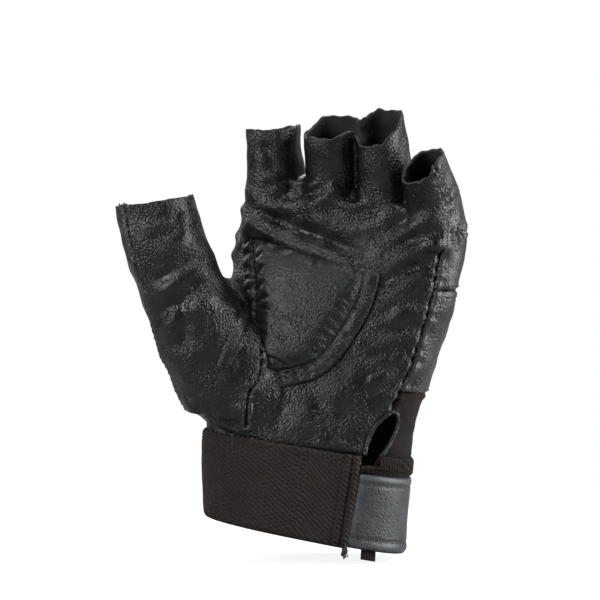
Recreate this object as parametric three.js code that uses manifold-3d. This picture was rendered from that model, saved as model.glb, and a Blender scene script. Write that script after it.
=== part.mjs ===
// A fingerless leather glove for a left hand, in the shape it takes when worn with the fingers half closed.
// Millimetres, +Z up along the forearm to the fingers, palm facing -Y, thumb on the -X side.
// The origin is the middle of the wrist opening.
import * as THREE from "three";
import { mergeVertices } from "three/addons/utils/BufferGeometryUtils.js";
import Module from "manifold-3d";

const wasm = await Module();
wasm.setup();

// Driving dimensions: the overall size
const handBreadth = 98; // across the knuckles, outside the leather
const handLength = 183; // from the wrist opening to the tallest stall

// Driving dimensions: materials
const leatherWall = 1.3;
const fabricWall = 1.1;
const knitWall = 1.9;
const foamWall = 1.6;
const tapeWall = 1.2; // hook tape and loop tape
const seamGap = 0.4; // between two pieces sewn edge to edge
const layGap = 0.35; // between two pieces lying on each other

// Driving dimensions: the places of seams and edges above the wrist opening
const cuffHeight = 36;
const fabricTop = 61; // where the fabric of the back meets the leather
const knuckleSeam = 103; // where the knuckle panel starts
const ventHeight = 19; // of the slit above the wrist band, on the little-finger side
const hemHeight = 5;
const strapClearance = 1.5; // between the strap and the hem above it

// Sections of the hand, from the wrist opening up. A section is an oval with flattened sides: its middle, its
// tilt, its half width from thumb side to little-finger side, and its half depth from palm to back. A turn below
// zero brings the little-finger side forward.
const handSections = [
  { at: [0.7, 0, 0.6], pitch: 0, lean: 11, turn: -4, halfWidth: 41.4, halfDepth: 27 },
  { at: [1.9, 0.5, 33], pitch: 0, lean: 9, turn: -6, halfWidth: 42.8, halfDepth: 25.5 },
  { at: [3.4, 1, 49], pitch: 0, lean: 6, turn: -10, halfWidth: 42.5, halfDepth: 24 },
  { at: [9.5, 1.5, 72], pitch: 0, lean: 4, turn: -15, halfWidth: 46, halfDepth: 21.5 },
  { at: [15.2, 2, 95], pitch: 1, lean: 4, turn: -19, halfWidth: 48, halfDepth: 19 },
  { at: [18, 3, 113], pitch: 3, lean: 5, turn: -21, halfWidth: 49, halfDepth: 17 },
  { at: [20.7, 3, 128], pitch: 5, lean: 6, turn: -22, halfWidth: 48.6, halfDepth: 15.8 },
  { at: [20, 1, 149], pitch: 9, lean: 7, turn: -22, halfWidth: 45.5, halfDepth: 14.5 },
];

const thumbSections = [
  { at: [-11.5, 1, 30], pitch: 0, lean: -6, turn: -6, halfWidth: 25, halfDepth: 21 },
  { at: [-25.6, -2, 57], pitch: 2, lean: -24, turn: -8, halfWidth: 23, halfDepth: 20.5 },
  { at: [-40.2, -7, 82], pitch: 4, lean: -26, turn: -10, halfWidth: 19.4, halfDepth: 18.5 },
  { at: [-49.8, -10, 102], pitch: 5, lean: -22, turn: -10, halfWidth: 17, halfDepth: 16.2 },
  { at: [-56.3, -12, 119], pitch: 5, lean: -15, turn: -10, halfWidth: 16.3, halfDepth: 15 },
  { at: [-60.1, -13, 135.5], pitch: 4, lean: -8, turn: -10, halfWidth: 16, halfDepth: 14 },
];

// Each finger: from its knuckle to the cut end of its stall. Width and depth are half sizes.
const fingerSections = {
  index: [
    { at: [-10.8, 15.3, 126], pitch: 4, lean: -1, turn: -22, halfWidth: 11.9, halfDepth: 15.6, square: 4 },
    { at: [-11.3, 13.2, 147], pitch: 7, lean: -2, turn: -20, halfWidth: 11.2, halfDepth: 13.8 },
    { at: [-12.3, 10.5, 166.5], pitch: 6, lean: -3, turn: -16, halfWidth: 11, halfDepth: 12.4 },
  ],
  middle: [
    { at: [11.2, 6.9, 125], pitch: 6, lean: 2, turn: -22, halfWidth: 11.5, halfDepth: 15.8, square: 4 },
    { at: [12.6, 2.6, 146], pitch: 16, lean: 1, turn: -22, halfWidth: 11.1, halfDepth: 14 },
    { at: [12, -4.5, 166], pitch: 26, lean: 0, turn: -25, halfWidth: 10.8, halfDepth: 12.6 },
  ],
  ring: [
    { at: [32.6, -1.6, 123.5], pitch: 8, lean: 4, turn: -22, halfWidth: 11.2, halfDepth: 15.6, square: 4 },
    { at: [34.2, -6.6, 144], pitch: 24, lean: 2, turn: -25, halfWidth: 10.7, halfDepth: 13.8 },
    { at: [31.8, -15, 165.5], pitch: 44, lean: 0, turn: -30, halfWidth: 10, halfDepth: 12.2 },
  ],
  little: [
    { at: [53.2, -9.8, 121.5], pitch: 12, lean: 7, turn: -22, halfWidth: 10.8, halfDepth: 15, square: 4 },
    { at: [51.4, -16, 137], pitch: 28, lean: 2, turn: -32, halfWidth: 9.6, halfDepth: 12.6 },
    { at: [45.8, -25, 150], pitch: 46, lean: 0, turn: -44, halfWidth: 9, halfDepth: 10.8 },
  ],
};

// How high each stall parts from the next one towards the little finger.
const webHeights = { index: 146, middle: 143, ring: 136 };

// The two hinge lines where the leather folds, each along its own X or Y, with the radius of the round lap
// that lets it turn.
const knuckleHinge = { along: "x", at: [21.2, 2.6, 123], pitch: 0, lean: 5, turn: -22, lapRadius: 18.4 };
const thumbHinge = { along: "y", at: [-45.5, -8.2, 89], pitch: 4, lean: 0, turn: -10, lapRadius: 22 };
const barLength = 260; // of the cutters that shape the laps, past both sides of the glove

// The sections and hinges are written for a hand of this breadth and length.
const drawn = { breadth: 98, length: 183 };
const grow = { across: handBreadth / drawn.breadth, up: handLength / drawn.length };

const ovalPower = 2.5; // where a section gives no `square`: 2 is an ellipse, and more is boxier
const radians = THREE.MathUtils.degToRad;
const lerp = THREE.MathUtils.lerp;

const looks = {
  leather: { color: 0x1c1c1e, roughness: 0.48, metalness: 0 },
  backLeather: { color: 0x2c2c2f, roughness: 0.5, metalness: 0 },
  strapLeather: { color: 0x303236, roughness: 0.45, metalness: 0 },
  fabric: { color: 0x241f20, roughness: 0.95, metalness: 0 },
  knit: { color: 0x231d1c, roughness: 0.95, metalness: 0 },
  foam: { color: 0x4a4a4a, roughness: 0.9, metalness: 0 },
  tape: { color: 0x111112, roughness: 0.9, metalness: 0 },
  label: { color: 0x101011, roughness: 0.7, metalness: 0 },
};

// ---- Surfaces ----

// A surface through a list of sections: (angle in degrees, station 0 to 1) gives a point. Angle 0 is the
// little-finger side, 90 the back, 180 the thumb side and 270 the palm.
function sectionSurface(sections) {
  const through = (pick) => {
    const points = sections.map((s) => new THREE.Vector3(...pick(s)));
    return new THREE.CatmullRomCurve3(points, false, "catmullrom", 0.5);
  };
  const middle = through((s) => placed(s.at));
  const tilt = through((s) => [s.pitch, s.lean, s.turn]);
  const size = through(({ halfWidth, halfDepth, square = ovalPower }) => [
    halfWidth * grow.across,
    halfDepth * grow.across,
    square,
  ]);
  const surface = (angle, station) => {
    const t = pointOn(tilt, station);
    const half = pointOn(size, station);
    const c = Math.cos(radians(angle));
    const s = Math.sin(radians(angle));
    const out = (value) => Math.sign(value) * Math.abs(value) ** (2 / half.z);
    return new THREE.Vector3(half.x * out(c), half.y * out(s), 0)
      .applyEuler(new THREE.Euler(radians(t.x), radians(t.y), radians(t.z), "ZYX"))
      .add(pointOn(middle, station));
  };
  surface.middle = middle;
  return surface;
}

// A point of the drawn hand, moved to where it lies on a hand of this size.
function placed([x, y, z]) {
  return [x * grow.across, y * grow.across, z * grow.up];
}

// A point on a curve that goes on straight beyond its ends.
function pointOn(curve, share) {
  const inside = THREE.MathUtils.clamp(share, 0, 1);
  const point = curve.getPoint(inside);
  if (inside === share) return point;
  const near = curve.getPoint(inside + 0.01 * (inside ? -1 : 1));
  return point.addScaledVector(point.clone().sub(near), 100 * Math.abs(share - inside));
}

// Where f changes from below zero to above it, between low and high.
function crossing(f, low, high) {
  for (let i = 0; i < 40; i++) {
    const between = (low + high) / 2;
    if (f(between) < 0) low = between;
    else high = between;
  }
  return (low + high) / 2;
}

const handByStation = sectionSurface(handSections);
const thumb = sectionSurface(thumbSections);

// The hand's surface by the height of the section's middle, in millimetres.
function hand(angle, height) {
  return handByStation(angle, stationAt(height));
}

function stationAt(height) {
  return crossing((station) => pointOn(handByStation.middle, station).z - height, -0.2, 1.2);
}

// The same surface moved out along its normal.
function raised(surface, distance) {
  const step = 0.004;
  return (a, b) => {
    const p = surface(a, b);
    const alongA = surface(a + step, b).sub(surface(a - step, b));
    const alongB = surface(a, b + step).sub(surface(a, b - step));
    return p.addScaledVector(alongA.cross(alongB).normalize(), distance);
  };
}

// A patch of a surface over the unit square: its sides are numbers, or functions of the way along.
function patch(surface, angles, levels) {
  const valueOf = (side, at) => (typeof side === "function" ? side(at) : side);
  return (s, t) => {
    const angle = lerp(valueOf(angles[0], t), valueOf(angles[1], t), s);
    const level = lerp(valueOf(levels[0], angle), valueOf(levels[1], angle), t);
    return surface(angle, level);
  };
}

// ---- Solids ----

// A wall whose outer face is point(s, t) over the unit square, with its inner face `thickness` inside it.
function wall(point, across, along, thickness) {
  const step = 0.002;
  const inside = (s, t) => {
    const [s0, s1] = [Math.max(0, s - step), Math.min(1, s + step)];
    const [t0, t1] = [Math.max(0, t - step), Math.min(1, t + step)];
    const alongS = point(s1, t).sub(point(s0, t));
    const alongT = point(s, t1).sub(point(s, t0));
    return point(s, t).addScaledVector(alongS.cross(alongT).normalize(), -thickness);
  };
  const positions = [];
  for (const face of [point, inside])
    for (let j = 0; j <= along; j++)
      for (let i = 0; i <= across; i++) positions.push(...face(i / across, j / along).toArray());
  const layer = (across + 1) * (along + 1);
  const at = (i, j, inner) => j * (across + 1) + i + (inner ? layer : 0);
  const faces = [];
  const quad = (a, b, c, d) => faces.push(a, b, c, a, c, d);
  for (let j = 0; j < along; j++)
    for (let i = 0; i < across; i++) {
      quad(at(i, j), at(i + 1, j), at(i + 1, j + 1), at(i, j + 1));
      quad(at(i, j, 1), at(i, j + 1, 1), at(i + 1, j + 1, 1), at(i + 1, j, 1));
    }
  for (let i = 0; i < across; i++) {
    quad(at(i, 0), at(i, 0, 1), at(i + 1, 0, 1), at(i + 1, 0));
    quad(at(i, along), at(i + 1, along), at(i + 1, along, 1), at(i, along, 1));
  }
  for (let j = 0; j < along; j++) {
    quad(at(0, j), at(0, j + 1), at(0, j + 1, 1), at(0, j, 1));
    quad(at(across, j), at(across, j, 1), at(across, j + 1, 1), at(across, j + 1));
  }
  return new THREE.BufferGeometry()
    .setAttribute("position", new THREE.Float32BufferAttribute(positions, 3))
    .setIndex(faces);
}

// The whole space inside a surface between two levels, as a closed solid.
function filled(surface, levels, around, along) {
  const positions = [];
  const faces = [];
  for (let j = 0; j <= along; j++)
    for (let i = 0; i < around; i++)
      positions.push(...surface((i / around) * 360, lerp(...levels, j / along)).toArray());
  const ends = [0, along].map((j) => {
    const ring = positions.slice(j * around * 3, (j + 1) * around * 3);
    const sum = [0, 0, 0].map((_, axis) => ring.filter((_, k) => k % 3 === axis).reduce((a, b) => a + b));
    positions.push(...sum.map((value) => value / around));
    return positions.length / 3 - 1;
  });
  const at = (i, j) => j * around + (i % around);
  for (let i = 0; i < around; i++) {
    faces.push(ends[0], at(i + 1, 0), at(i, 0), ends[1], at(i, along), at(i + 1, along));
    for (let j = 0; j < along; j++)
      faces.push(at(i, j), at(i + 1, j), at(i + 1, j + 1), at(i, j), at(i + 1, j + 1), at(i, j + 1));
  }
  return new THREE.BufferGeometry()
    .setAttribute("position", new THREE.Float32BufferAttribute(positions, 3))
    .setIndex(faces);
}

function solidOf(geometry) {
  const bare = geometry.clone();
  bare.deleteAttribute("normal");
  bare.deleteAttribute("uv");
  const merged = mergeVertices(bare, 1e-4);
  return new wasm.Manifold(
    new wasm.Mesh({
      numProp: 3,
      vertProperties: merged.getAttribute("position").array,
      triVerts: new Uint32Array(merged.index.array),
    }),
  );
}

function geometryOf(solid) {
  const mesh = solid.getMesh();
  return new THREE.BufferGeometry()
    .setAttribute("position", new THREE.BufferAttribute(new Float32Array(mesh.vertProperties), 3))
    .setIndex(new THREE.BufferAttribute(new Uint32Array(mesh.triVerts), 1));
}

// The geometry without the space of each cutter. Crumbs that a cut leaves behind are dropped.
function cut(geometry, ...cutters) {
  const left = cutters.reduce((solid, cutter) => solid.subtract(cutter), solidOf(geometry));
  const parts = left.decompose().sort((a, b) => b.volume() - a.volume());
  return geometryOf(parts[0]);
}

function lapRadius(hinge) {
  return hinge.lapRadius * grow.across;
}

function hingeFrame({ at, pitch, lean, turn }) {
  const tilt = new THREE.Euler(radians(pitch), radians(lean), radians(turn), "ZYX");
  return new THREE.Matrix4().makeRotationFromEuler(tilt).setPosition(...placed(at));
}

// The space inside a hinge's lap and the gap round it, as a cutter for the piece that turns.
function lapSpace(hinge) {
  const radius = lapRadius(hinge) + seamGap;
  const bar = new THREE.CylinderGeometry(radius, radius, barLength, 56);
  bar.rotateZ(hinge.along === "y" ? 0 : Math.PI / 2);
  bar.applyMatrix4(hingeFrame(hinge));
  return solidOf(bar);
}

// How far a point lies outside the lap of a hinge.
function outsideLap(hinge, point) {
  const local = point.clone().applyMatrix4(hingeFrame(hinge).invert());
  return Math.hypot(hinge.along === "x" ? local.y : local.x, local.z) - lapRadius(hinge);
}

// ---- The leather of the palm and back ----

// The hand's wall reaches up to the lap round the knuckle hinge line.
function handTop(angle) {
  const low = placed(knuckleHinge.at)[2] - 3;
  return crossing((height) => outsideLap(knuckleHinge, hand(angle, height)), low, low + 28 * grow.up);
}

const ventTop = cuffHeight + ventHeight;

// The side seam between palm and back, by height: it runs up the little-finger side and opens into the vent.
const seamLine = new THREE.SplineCurve([
  new THREE.Vector2(cuffHeight, 300),
  new THREE.Vector2(cuffHeight + 8, 307),
  new THREE.Vector2(ventTop, 321),
  new THREE.Vector2(72, 325),
  new THREE.Vector2(100, 327),
  new THREE.Vector2(143, 329),
]);

function onCurve(curve, level) {
  const share = crossing((t) => curve.getPoint(t).x - level, 0, 1);
  return curve.getPoint(share).y;
}

const fullTurn = 360;
const thumbSide = 184; // the seam on the thumb side, in degrees
const ventSide = -38; // the fabric's edge along the vent
const degreeGap = 0.55; // an angle that leaves the seam gap on a panel's side
const palmBottom = cuffHeight + seamGap;
const hemBottom = cuffHeight - hemHeight;
const leatherTop = 139 * grow.up; // about where the side seam reaches the little finger

function seamAngle(level) {
  return onCurve(seamLine, level);
}

function palmLeather() {
  const sides = (t) => seamAngle(lerp(palmBottom, leatherTop, t)) - degreeGap;
  const whole = patch(hand, [thumbSide, sides], [palmBottom, handTop]);
  return cut(wall(whole, 18, 12, leatherWall), thumbSpace);
}

// The back panels' edge along the side seam, between two levels.
function backSide(from, to) {
  return (t) => Math.max(seamAngle(lerp(from, to, t)) + degreeGap - fullTurn, ventSide);
}

function backLeather() {
  const panel = patch(
    hand,
    [backSide(fabricTop, knuckleSeam), thumbSide - 2 * degreeGap],
    [fabricTop + seamGap, knuckleSeam],
  );
  return cut(wall(panel, 18, 4, leatherWall), thumbSpace);
}

function knucklePanel() {
  const panel = patch(
    hand,
    [backSide(knuckleSeam, leatherTop), thumbSide - 2 * degreeGap],
    [knuckleSeam + seamGap, handTop],
  );
  return cut(wall(panel, 18, 4, leatherWall), thumbSpace);
}

function backFabric() {
  const panel = patch(
    hand,
    [(t) => backSide(hemBottom, fabricTop)(t) + 1.5 * (1 - t), thumbSide - 2 * degreeGap],
    [(angle) => (angle < bandEnd ? hemBottom + hemHeight + seamGap : palmBottom), fabricTop],
  );
  return cut(wall(panel, 18, 3, fabricWall), thumbSpace);
}

// ---- Wrist band, strap and their tapes ----

const bandEnd = 74; // where the wrist band ends on the back, in degrees
const bandStart = 299; // where it meets the strap on the palm
const bandSlant = 7; // how far that end slants over the band's height

function cuffBand() {
  const start = (t) => bandStart - bandSlant * (1 - t);
  return wall(patch(hand, [bandEnd, start], [0, cuffHeight]), 24, 3, knitWall);
}

// The elastic hem along the free edge of the fabric, folded over it.
function backHem() {
  const hem = patch(hand, [ventSide, bandEnd - degreeGap], [hemBottom, hemBottom + hemHeight]);
  return wall(hem, 12, 1, knitWall);
}

// The leather edging round the palm's side of the vent.
function ventBinding() {
  const edge = [];
  const steps = 9;
  for (let i = 0; i <= steps; i++) {
    const level = lerp(palmBottom + 1, ventTop - 6, i / steps);
    edge.push(raised(hand, -leatherWall / 2)(seamAngle(level) + 2.7, level));
  }
  const round = new THREE.Shape().absarc(0, 0, 1, 0, Math.PI * 2);
  return new THREE.ExtrudeGeometry(round, {
    extrudePath: new THREE.CatmullRomCurve3(edge),
    steps: 9,
    bevelEnabled: false,
    curveSegments: 4,
  });
}

const strapTop = hemBottom - strapClearance;
const strapEnd = 120;
const loopTape = { from: 78, to: 146, bottom: 3, top: cuffHeight - 5 };
const hookTape = { from: 80, to: 116, bottom: 4.5, top: strapTop - 4.5 };

function loopPad() {
  const { from, to, bottom, top } = loopTape;
  return wall(patch(raised(hand, layGap + tapeWall), [from, to], [bottom, top]), 8, 2, tapeWall);
}

function hookPad() {
  const { from, to, bottom, top } = hookTape;
  return wall(patch(raised(hand, 2 * (layGap + tapeWall)), [from, to], [bottom, top]), 6, 2, tapeWall);
}

// How far the strap's outer face stands off the hand: flush at its root, clear of the tapes at its end.
function strapRise(angle) {
  const top = 2 * (layGap + tapeWall) + layGap + leatherWall;
  return top * THREE.MathUtils.smoothstep(angle, 5, 68);
}

const strapCorner = 9; // the rounding of the strap's free end, in degrees along it
const strapCut = 7; // how much narrower each edge is at that end

function strapLeather() {
  const surface = (angle, level) => raised(hand, strapRise(angle))(angle, level);
  const narrowing = (angle) => {
    const share = THREE.MathUtils.clamp((angle - (strapEnd - strapCorner)) / strapCorner, 0, 1);
    return strapCut * (1 - Math.sqrt(1 - share * share * 0.96));
  };
  const root = (t) => bandStart - fullTurn - bandSlant * (1 - t) + degreeGap;
  const strap = patch(
    surface,
    [root, strapEnd],
    [(angle) => narrowing(angle) + 0.5, (angle) => strapTop - narrowing(angle)],
  );
  return wall(strap, 28, 3, leatherWall);
}

const labelTape = { from: -53, to: -45, bottom: -3.5, top: 5.5, thickness: 0.9 };

// A folded woven label, sewn inside the strap's lower edge.
function strapLabel() {
  const { from, to, bottom, top, thickness } = labelTape;
  return wall(patch(raised(hand, -leatherWall - layGap), [from, to], [bottom, top]), 2, 2, thickness);
}

// The knot and thread ends at the foot of the seam between band and strap.
function seamTail() {
  const foot = raised(hand, -knitWall / 2)(bandStart - bandSlant - 1, 0);
  const [top, end] = [0.9, 5].map((drop) => foot.clone().setZ(foot.z - drop));
  const tail = new THREE.Shape().absellipse(0, 0, 1.6, 1.2, 0, Math.PI * 2, false, 0);
  return new THREE.ExtrudeGeometry(tail, {
    extrudePath: new THREE.LineCurve3(top, end),
    steps: 1,
    bevelEnabled: false,
    curveSegments: 4,
  });
}

// ---- The padded patch on the palm ----

// Its two side edges, in degrees at shares of the way from the rounded foot up to the fold below the fingers.
const patchLeft = new THREE.SplineCurve([
  new THREE.Vector2(0, 252),
  new THREE.Vector2(0.09, 241),
  new THREE.Vector2(0.27, 233),
  new THREE.Vector2(0.6, 224),
  new THREE.Vector2(1, 208),
]);
const patchRight = new THREE.SplineCurve([
  new THREE.Vector2(0, 257),
  new THREE.Vector2(0.09, 271),
  new THREE.Vector2(0.3, 281),
  new THREE.Vector2(0.66, 289),
  new THREE.Vector2(1, 291),
]);
const patchFoot = 58;
const patchTop = { left: 126, right: 111 };
const patchBorder = 5; // the sewn border round the foam

function patchPanel(surface, border, thickness) {
  const inset = border / 1.1;
  const side = (curve, sign) => (t) => onCurve(curve, lerp(0.5, t, 1 - border / 30)) + sign * inset;
  const top = (angle) => THREE.MathUtils.mapLinear(angle, 208, 291, patchTop.left, patchTop.right) - border;
  const panel = patch(surface, [side(patchLeft, 1), side(patchRight, -1)], [patchFoot + border, top]);
  return wall(panel, 9, 8, thickness);
}

function palmPad() {
  return cut(patchPanel(raised(hand, layGap + foamWall), patchBorder, foamWall), thumbSpace);
}

function palmPatch() {
  return cut(patchPanel(raised(hand, 2 * layGap + foamWall + leatherWall), 0, leatherWall), thumbSpace);
}

// ---- Thumb ----

const thumbSpace = solidOf(filled(raised(thumb, seamGap), [0, 0.62], 30, 10));
const handSpace = solidOf(filled(raised(hand, seamGap), [17, 147 * grow.up], 36, 14));
const thumbLap = lapSpace(thumbHinge);

function thumbTop(angle) {
  return crossing((station) => outsideLap(thumbHinge, thumb(angle, station)), 0.42, 0.95);
}

const thumbSeams = { front: [176, 364], back: [4, 176] };

function thenar([from, to]) {
  const panel = patch(thumb, [from + degreeGap, to - degreeGap], [0.06, thumbTop]);
  return cut(wall(panel, 14, 9, leatherWall), handSpace);
}

function thumbStall([from, to]) {
  const panel = patch(thumb, [from + 2 * degreeGap, to - 2 * degreeGap], [0.5, 1]);
  return cut(wall(panel, 12, 6, leatherWall), thumbLap, handSpace);
}

// ---- Fingers ----

const knuckleLap = lapSpace(knuckleHinge);
const fingers = Object.fromEntries(
  Object.entries(fingerSections).map(([name, sections]) => [name, sectionSurface(sections)]),
);
const gusset = 36; // half the angle that a fourchette takes on a finger's side

function webStation(name, web) {
  return crossing((station) => fingers[name].middle.getPoint(station).z - web * grow.up, 0, 1);
}

// One side of a finger's front or back: at the seam below the web, drawn in beside the fourchette above it.
function fingerSide(name, angle, towardsMiddle, web) {
  const wide = angle + towardsMiddle * 1.6;
  if (!web) return () => wide;
  const narrow = angle + towardsMiddle * (gusset + 1.8);
  const parting = webStation(name, web);
  return (t) => lerp(wide, narrow, THREE.MathUtils.smoothstep(t, parting - 0.26, parting - 0.08));
}

function fingerPanel(name, [from, to], webs) {
  const sides = [fingerSide(name, from, 1, webs[0]), fingerSide(name, to, -1, webs[1])];
  const panel = patch(fingers[name], sides, [0, 1]);
  return cut(wall(panel, 8, 9, leatherWall), knuckleLap);
}

// A strip down the side of one finger, across the web, and up the side of the next.
function fourchette(first, second) {
  const [low, high] = [first, second].map((name) => webStation(name, webHeights[first]) + 0.03);
  const down = (s, t) => fingers[first](lerp(gusset, -gusset, s), lerp(1, low, t));
  const up = (s, t) => fingers[second](180 + lerp(-gusset, gusset, s), lerp(high, 1, t));
  const bend = 0.08;
  const strip = (s, t) => {
    if (t <= 0.5 - bend) return down(s, t / (0.5 - bend));
    if (t >= 0.5 + bend) return up(s, (t - 0.5 - bend) / (0.5 - bend));
    const share = (t - 0.5 + bend) / (2 * bend);
    const drop = new THREE.Vector3(0, 0, -2.2 * Math.sin(share * Math.PI));
    return down(s, 1).lerp(up(s, 0), share).add(drop);
  };
  return cut(wall(strip, 4, 19, leatherWall), knuckleLap);
}

// ---- Assembly ----

const glove = new THREE.Group();

function add(name, geometry, look) {
  const mesh = new THREE.Mesh(geometry, new THREE.MeshStandardMaterial(look));
  mesh.name = name;
  glove.add(mesh);
}

add("palm_leather", palmLeather(), looks.leather);
add("palm_patch", palmPatch(), looks.leather);
add("palm_pad", palmPad(), looks.foam);
add("back_leather", backLeather(), looks.backLeather);
add("knuckle_panel", knucklePanel(), looks.backLeather);
add("back_fabric", backFabric(), looks.fabric);
add("back_hem", backHem(), looks.knit);
add("vent_binding", ventBinding(), looks.leather);
add("cuff_band", cuffBand(), looks.knit);
add("loop_pad", loopPad(), looks.tape);
add("hook_pad", hookPad(), looks.tape);
add("strap_leather", strapLeather(), looks.strapLeather);
add("strap_label", strapLabel(), looks.label);
add("seam_tail", seamTail(), looks.knit);
for (const [side, angles] of Object.entries(thumbSeams)) {
  add(`thenar_${side}`, thenar(angles), looks.leather);
  add(`thumb_${side}`, thumbStall(angles), looks.leather);
}

const order = Object.keys(fingers);
order.forEach((name, i) => {
  const [toThumb, toLittle] = [webHeights[order[i - 1]], webHeights[name]];
  add(`${name}_front`, fingerPanel(name, [180, 360], [toThumb, toLittle]), looks.leather);
  add(`${name}_back`, fingerPanel(name, [0, 180], [toLittle, toThumb]), looks.backLeather);
  if (toLittle) add(`fourchette_${name}_${order[i + 1]}`, fourchette(name, order[i + 1]), looks.leather);
});

export default glove;
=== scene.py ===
import bpy
import math
import numpy as np
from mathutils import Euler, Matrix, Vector, kdtree, noise
from mathutils.bvhtree import BVHTree


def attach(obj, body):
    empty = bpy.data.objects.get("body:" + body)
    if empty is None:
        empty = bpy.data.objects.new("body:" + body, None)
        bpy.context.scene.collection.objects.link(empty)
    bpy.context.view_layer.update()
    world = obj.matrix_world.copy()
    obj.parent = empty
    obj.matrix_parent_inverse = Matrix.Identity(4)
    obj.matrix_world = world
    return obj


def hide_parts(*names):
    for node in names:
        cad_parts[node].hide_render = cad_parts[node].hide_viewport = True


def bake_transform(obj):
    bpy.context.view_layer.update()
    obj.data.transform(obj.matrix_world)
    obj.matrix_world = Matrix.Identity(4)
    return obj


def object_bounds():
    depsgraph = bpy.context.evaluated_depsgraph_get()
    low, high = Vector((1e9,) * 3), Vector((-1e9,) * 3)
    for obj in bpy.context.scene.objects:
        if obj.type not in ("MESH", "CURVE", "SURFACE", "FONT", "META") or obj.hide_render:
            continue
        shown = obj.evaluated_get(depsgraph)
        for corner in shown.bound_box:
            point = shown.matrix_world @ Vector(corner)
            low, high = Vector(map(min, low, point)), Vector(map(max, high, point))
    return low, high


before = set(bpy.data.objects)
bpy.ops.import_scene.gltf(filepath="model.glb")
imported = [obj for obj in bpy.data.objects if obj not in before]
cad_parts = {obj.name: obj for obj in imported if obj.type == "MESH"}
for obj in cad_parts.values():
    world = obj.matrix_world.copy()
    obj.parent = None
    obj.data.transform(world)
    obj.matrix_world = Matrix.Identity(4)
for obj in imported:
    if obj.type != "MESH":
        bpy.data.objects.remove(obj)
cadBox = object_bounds()
millimetre = 0.001
print("frame loaded")


# the hand that fills the glove, in millimetres, section by section and close to the part's own model:
# middle x y z, pitch, lean, turn, half width, half depth, squareness
hand = [
    (0.7, 0, 0.6, 0, 11, -4, 41.4, 27, 2.5),
    (1.9, 0.5, 33, 0, 9, -6, 42.8, 25.5, 2.5),
    (3.4, 1, 49, 0, 6, -10, 42.5, 24, 2.5),
    (9.5, 1.5, 72, 0, 4, -15, 46, 21.5, 2.5),
    (15.2, 2, 95, 1, 4, -19, 48, 19, 2.5),
    (18, 3, 113, 3, 5, -21, 49, 17, 2.5),
    (20.7, 3, 128, 5, 6, -22, 48.6, 15.8, 2.5),
    (20, 1, 149, 9, 7, -22, 45.5, 14.5, 2.5),
]
thumb = [
    (-11.5, 1, 30, 0, -6, -6, 25, 21, 2.5),
    (-25.6, -2, 57, 2, -24, -8, 23, 20.5, 2.5),
    (-40.2, -7, 82, 4, -26, -10, 19.4, 18.5, 2.5),
    (-49.8, -10, 102, 5, -22, -10, 17, 16.2, 2.5),
    (-56.3, -12, 119, 5, -15, -10, 16.3, 15, 2.5),
    (-60.1, -13, 135.5, 4, -8, -10, 16, 14, 2.5),
]
fingers = {
    "index": [
        (-10.8, 15.3, 126, 4, -1, -22, 11.9, 15.6, 4),
        (-11.3, 13.2, 147, 7, -2, -20, 11.2, 13.8, 2.5),
        (-12.3, 10.5, 166.5, 6, -3, -16, 11, 12.4, 2.5),
    ],
    "middle": [
        (11.2, 6.9, 125, 6, 2, -22, 11.5, 15.8, 4),
        (12.6, 2.6, 146, 16, 1, -22, 11.1, 14, 2.5),
        (12, -4.5, 166, 26, 0, -25, 10.8, 12.6, 2.5),
    ],
    "ring": [
        (32.6, -1.6, 123.5, 8, 4, -22, 11.2, 15.6, 4),
        (33.8, -6.4, 144, 24, 2, -25, 10.4, 13.4, 2.5),
        (31.2, -14.6, 165.5, 44, 0, -30, 9.7, 11.7, 2.5),
    ],
    "little": [
        (53.2, -9.8, 121.5, 12, 7, -22, 10.8, 15, 4),
        (52.2, -16.6, 137, 28, 2, -32, 9.4, 12.2, 2.5),
        (47.8, -26.6, 149.4, 46, 0, -44, 8.7, 10.4, 2.5),
    ],
}
webs = {"index": 146, "middle": 143, "ring": 136}  # how high each finger parts from the next
seams = {
    "fabricTop": 61,
    "knuckle": 103,
    "thumbSide": 184,  # degrees round the hand: 0 little finger, 90 back, 180 thumb, 270 palm
    "thumbInner": 364,
    "side": [(36, 300), (44, 307), (55, 321), (72, 325), (100, 327), (143, 329)],  # height, angle
    "thumbOuter": [(0.0, 186), (0.25, 194), (0.45, 210), (0.62, 226), (0.8, 234), (1.1, 234)],  # share, angle
    "thumbPalm": [(-23.5, 30), (-23, 45), (-22, 57), (-17, 67), (-17, 90), (-18.5, 100), (-21.5, 106.5),
                  (-22, 140)],  # x, z
}


def along(rows, share):  # a smooth run through the rows, straight on beyond its ends
    rows = np.asarray(rows, float)
    last = len(rows) - 1
    if share > 1:
        return along(rows, 1) + (along(rows, 1) - along(rows, 0.99)) * (share - 1) * 100
    if share < 0:
        return along(rows, 0) + (along(rows, 0.01) - along(rows, 0)) * share * 100
    i = min(int(share * last), last - 1)
    t = share * last - i
    before = rows[i - 1] if i else 2 * rows[0] - rows[1]
    after = rows[i + 2] if i + 2 <= last else 2 * rows[last] - rows[last - 1]
    a, b = rows[i], rows[i + 1]
    slopeA, slopeB = (b - before) / 2, (after - a) / 2
    early = (2 * t**3 - 3 * t**2 + 1) * a + (t**3 - 2 * t**2 + t) * slopeA
    return early + (3 * t**2 - 2 * t**3) * b + (t**3 - t**2) * slopeB


def turnOf(row):
    return np.array(Euler([math.radians(v) for v in row[3:6]], "XYZ").to_matrix())


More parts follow.
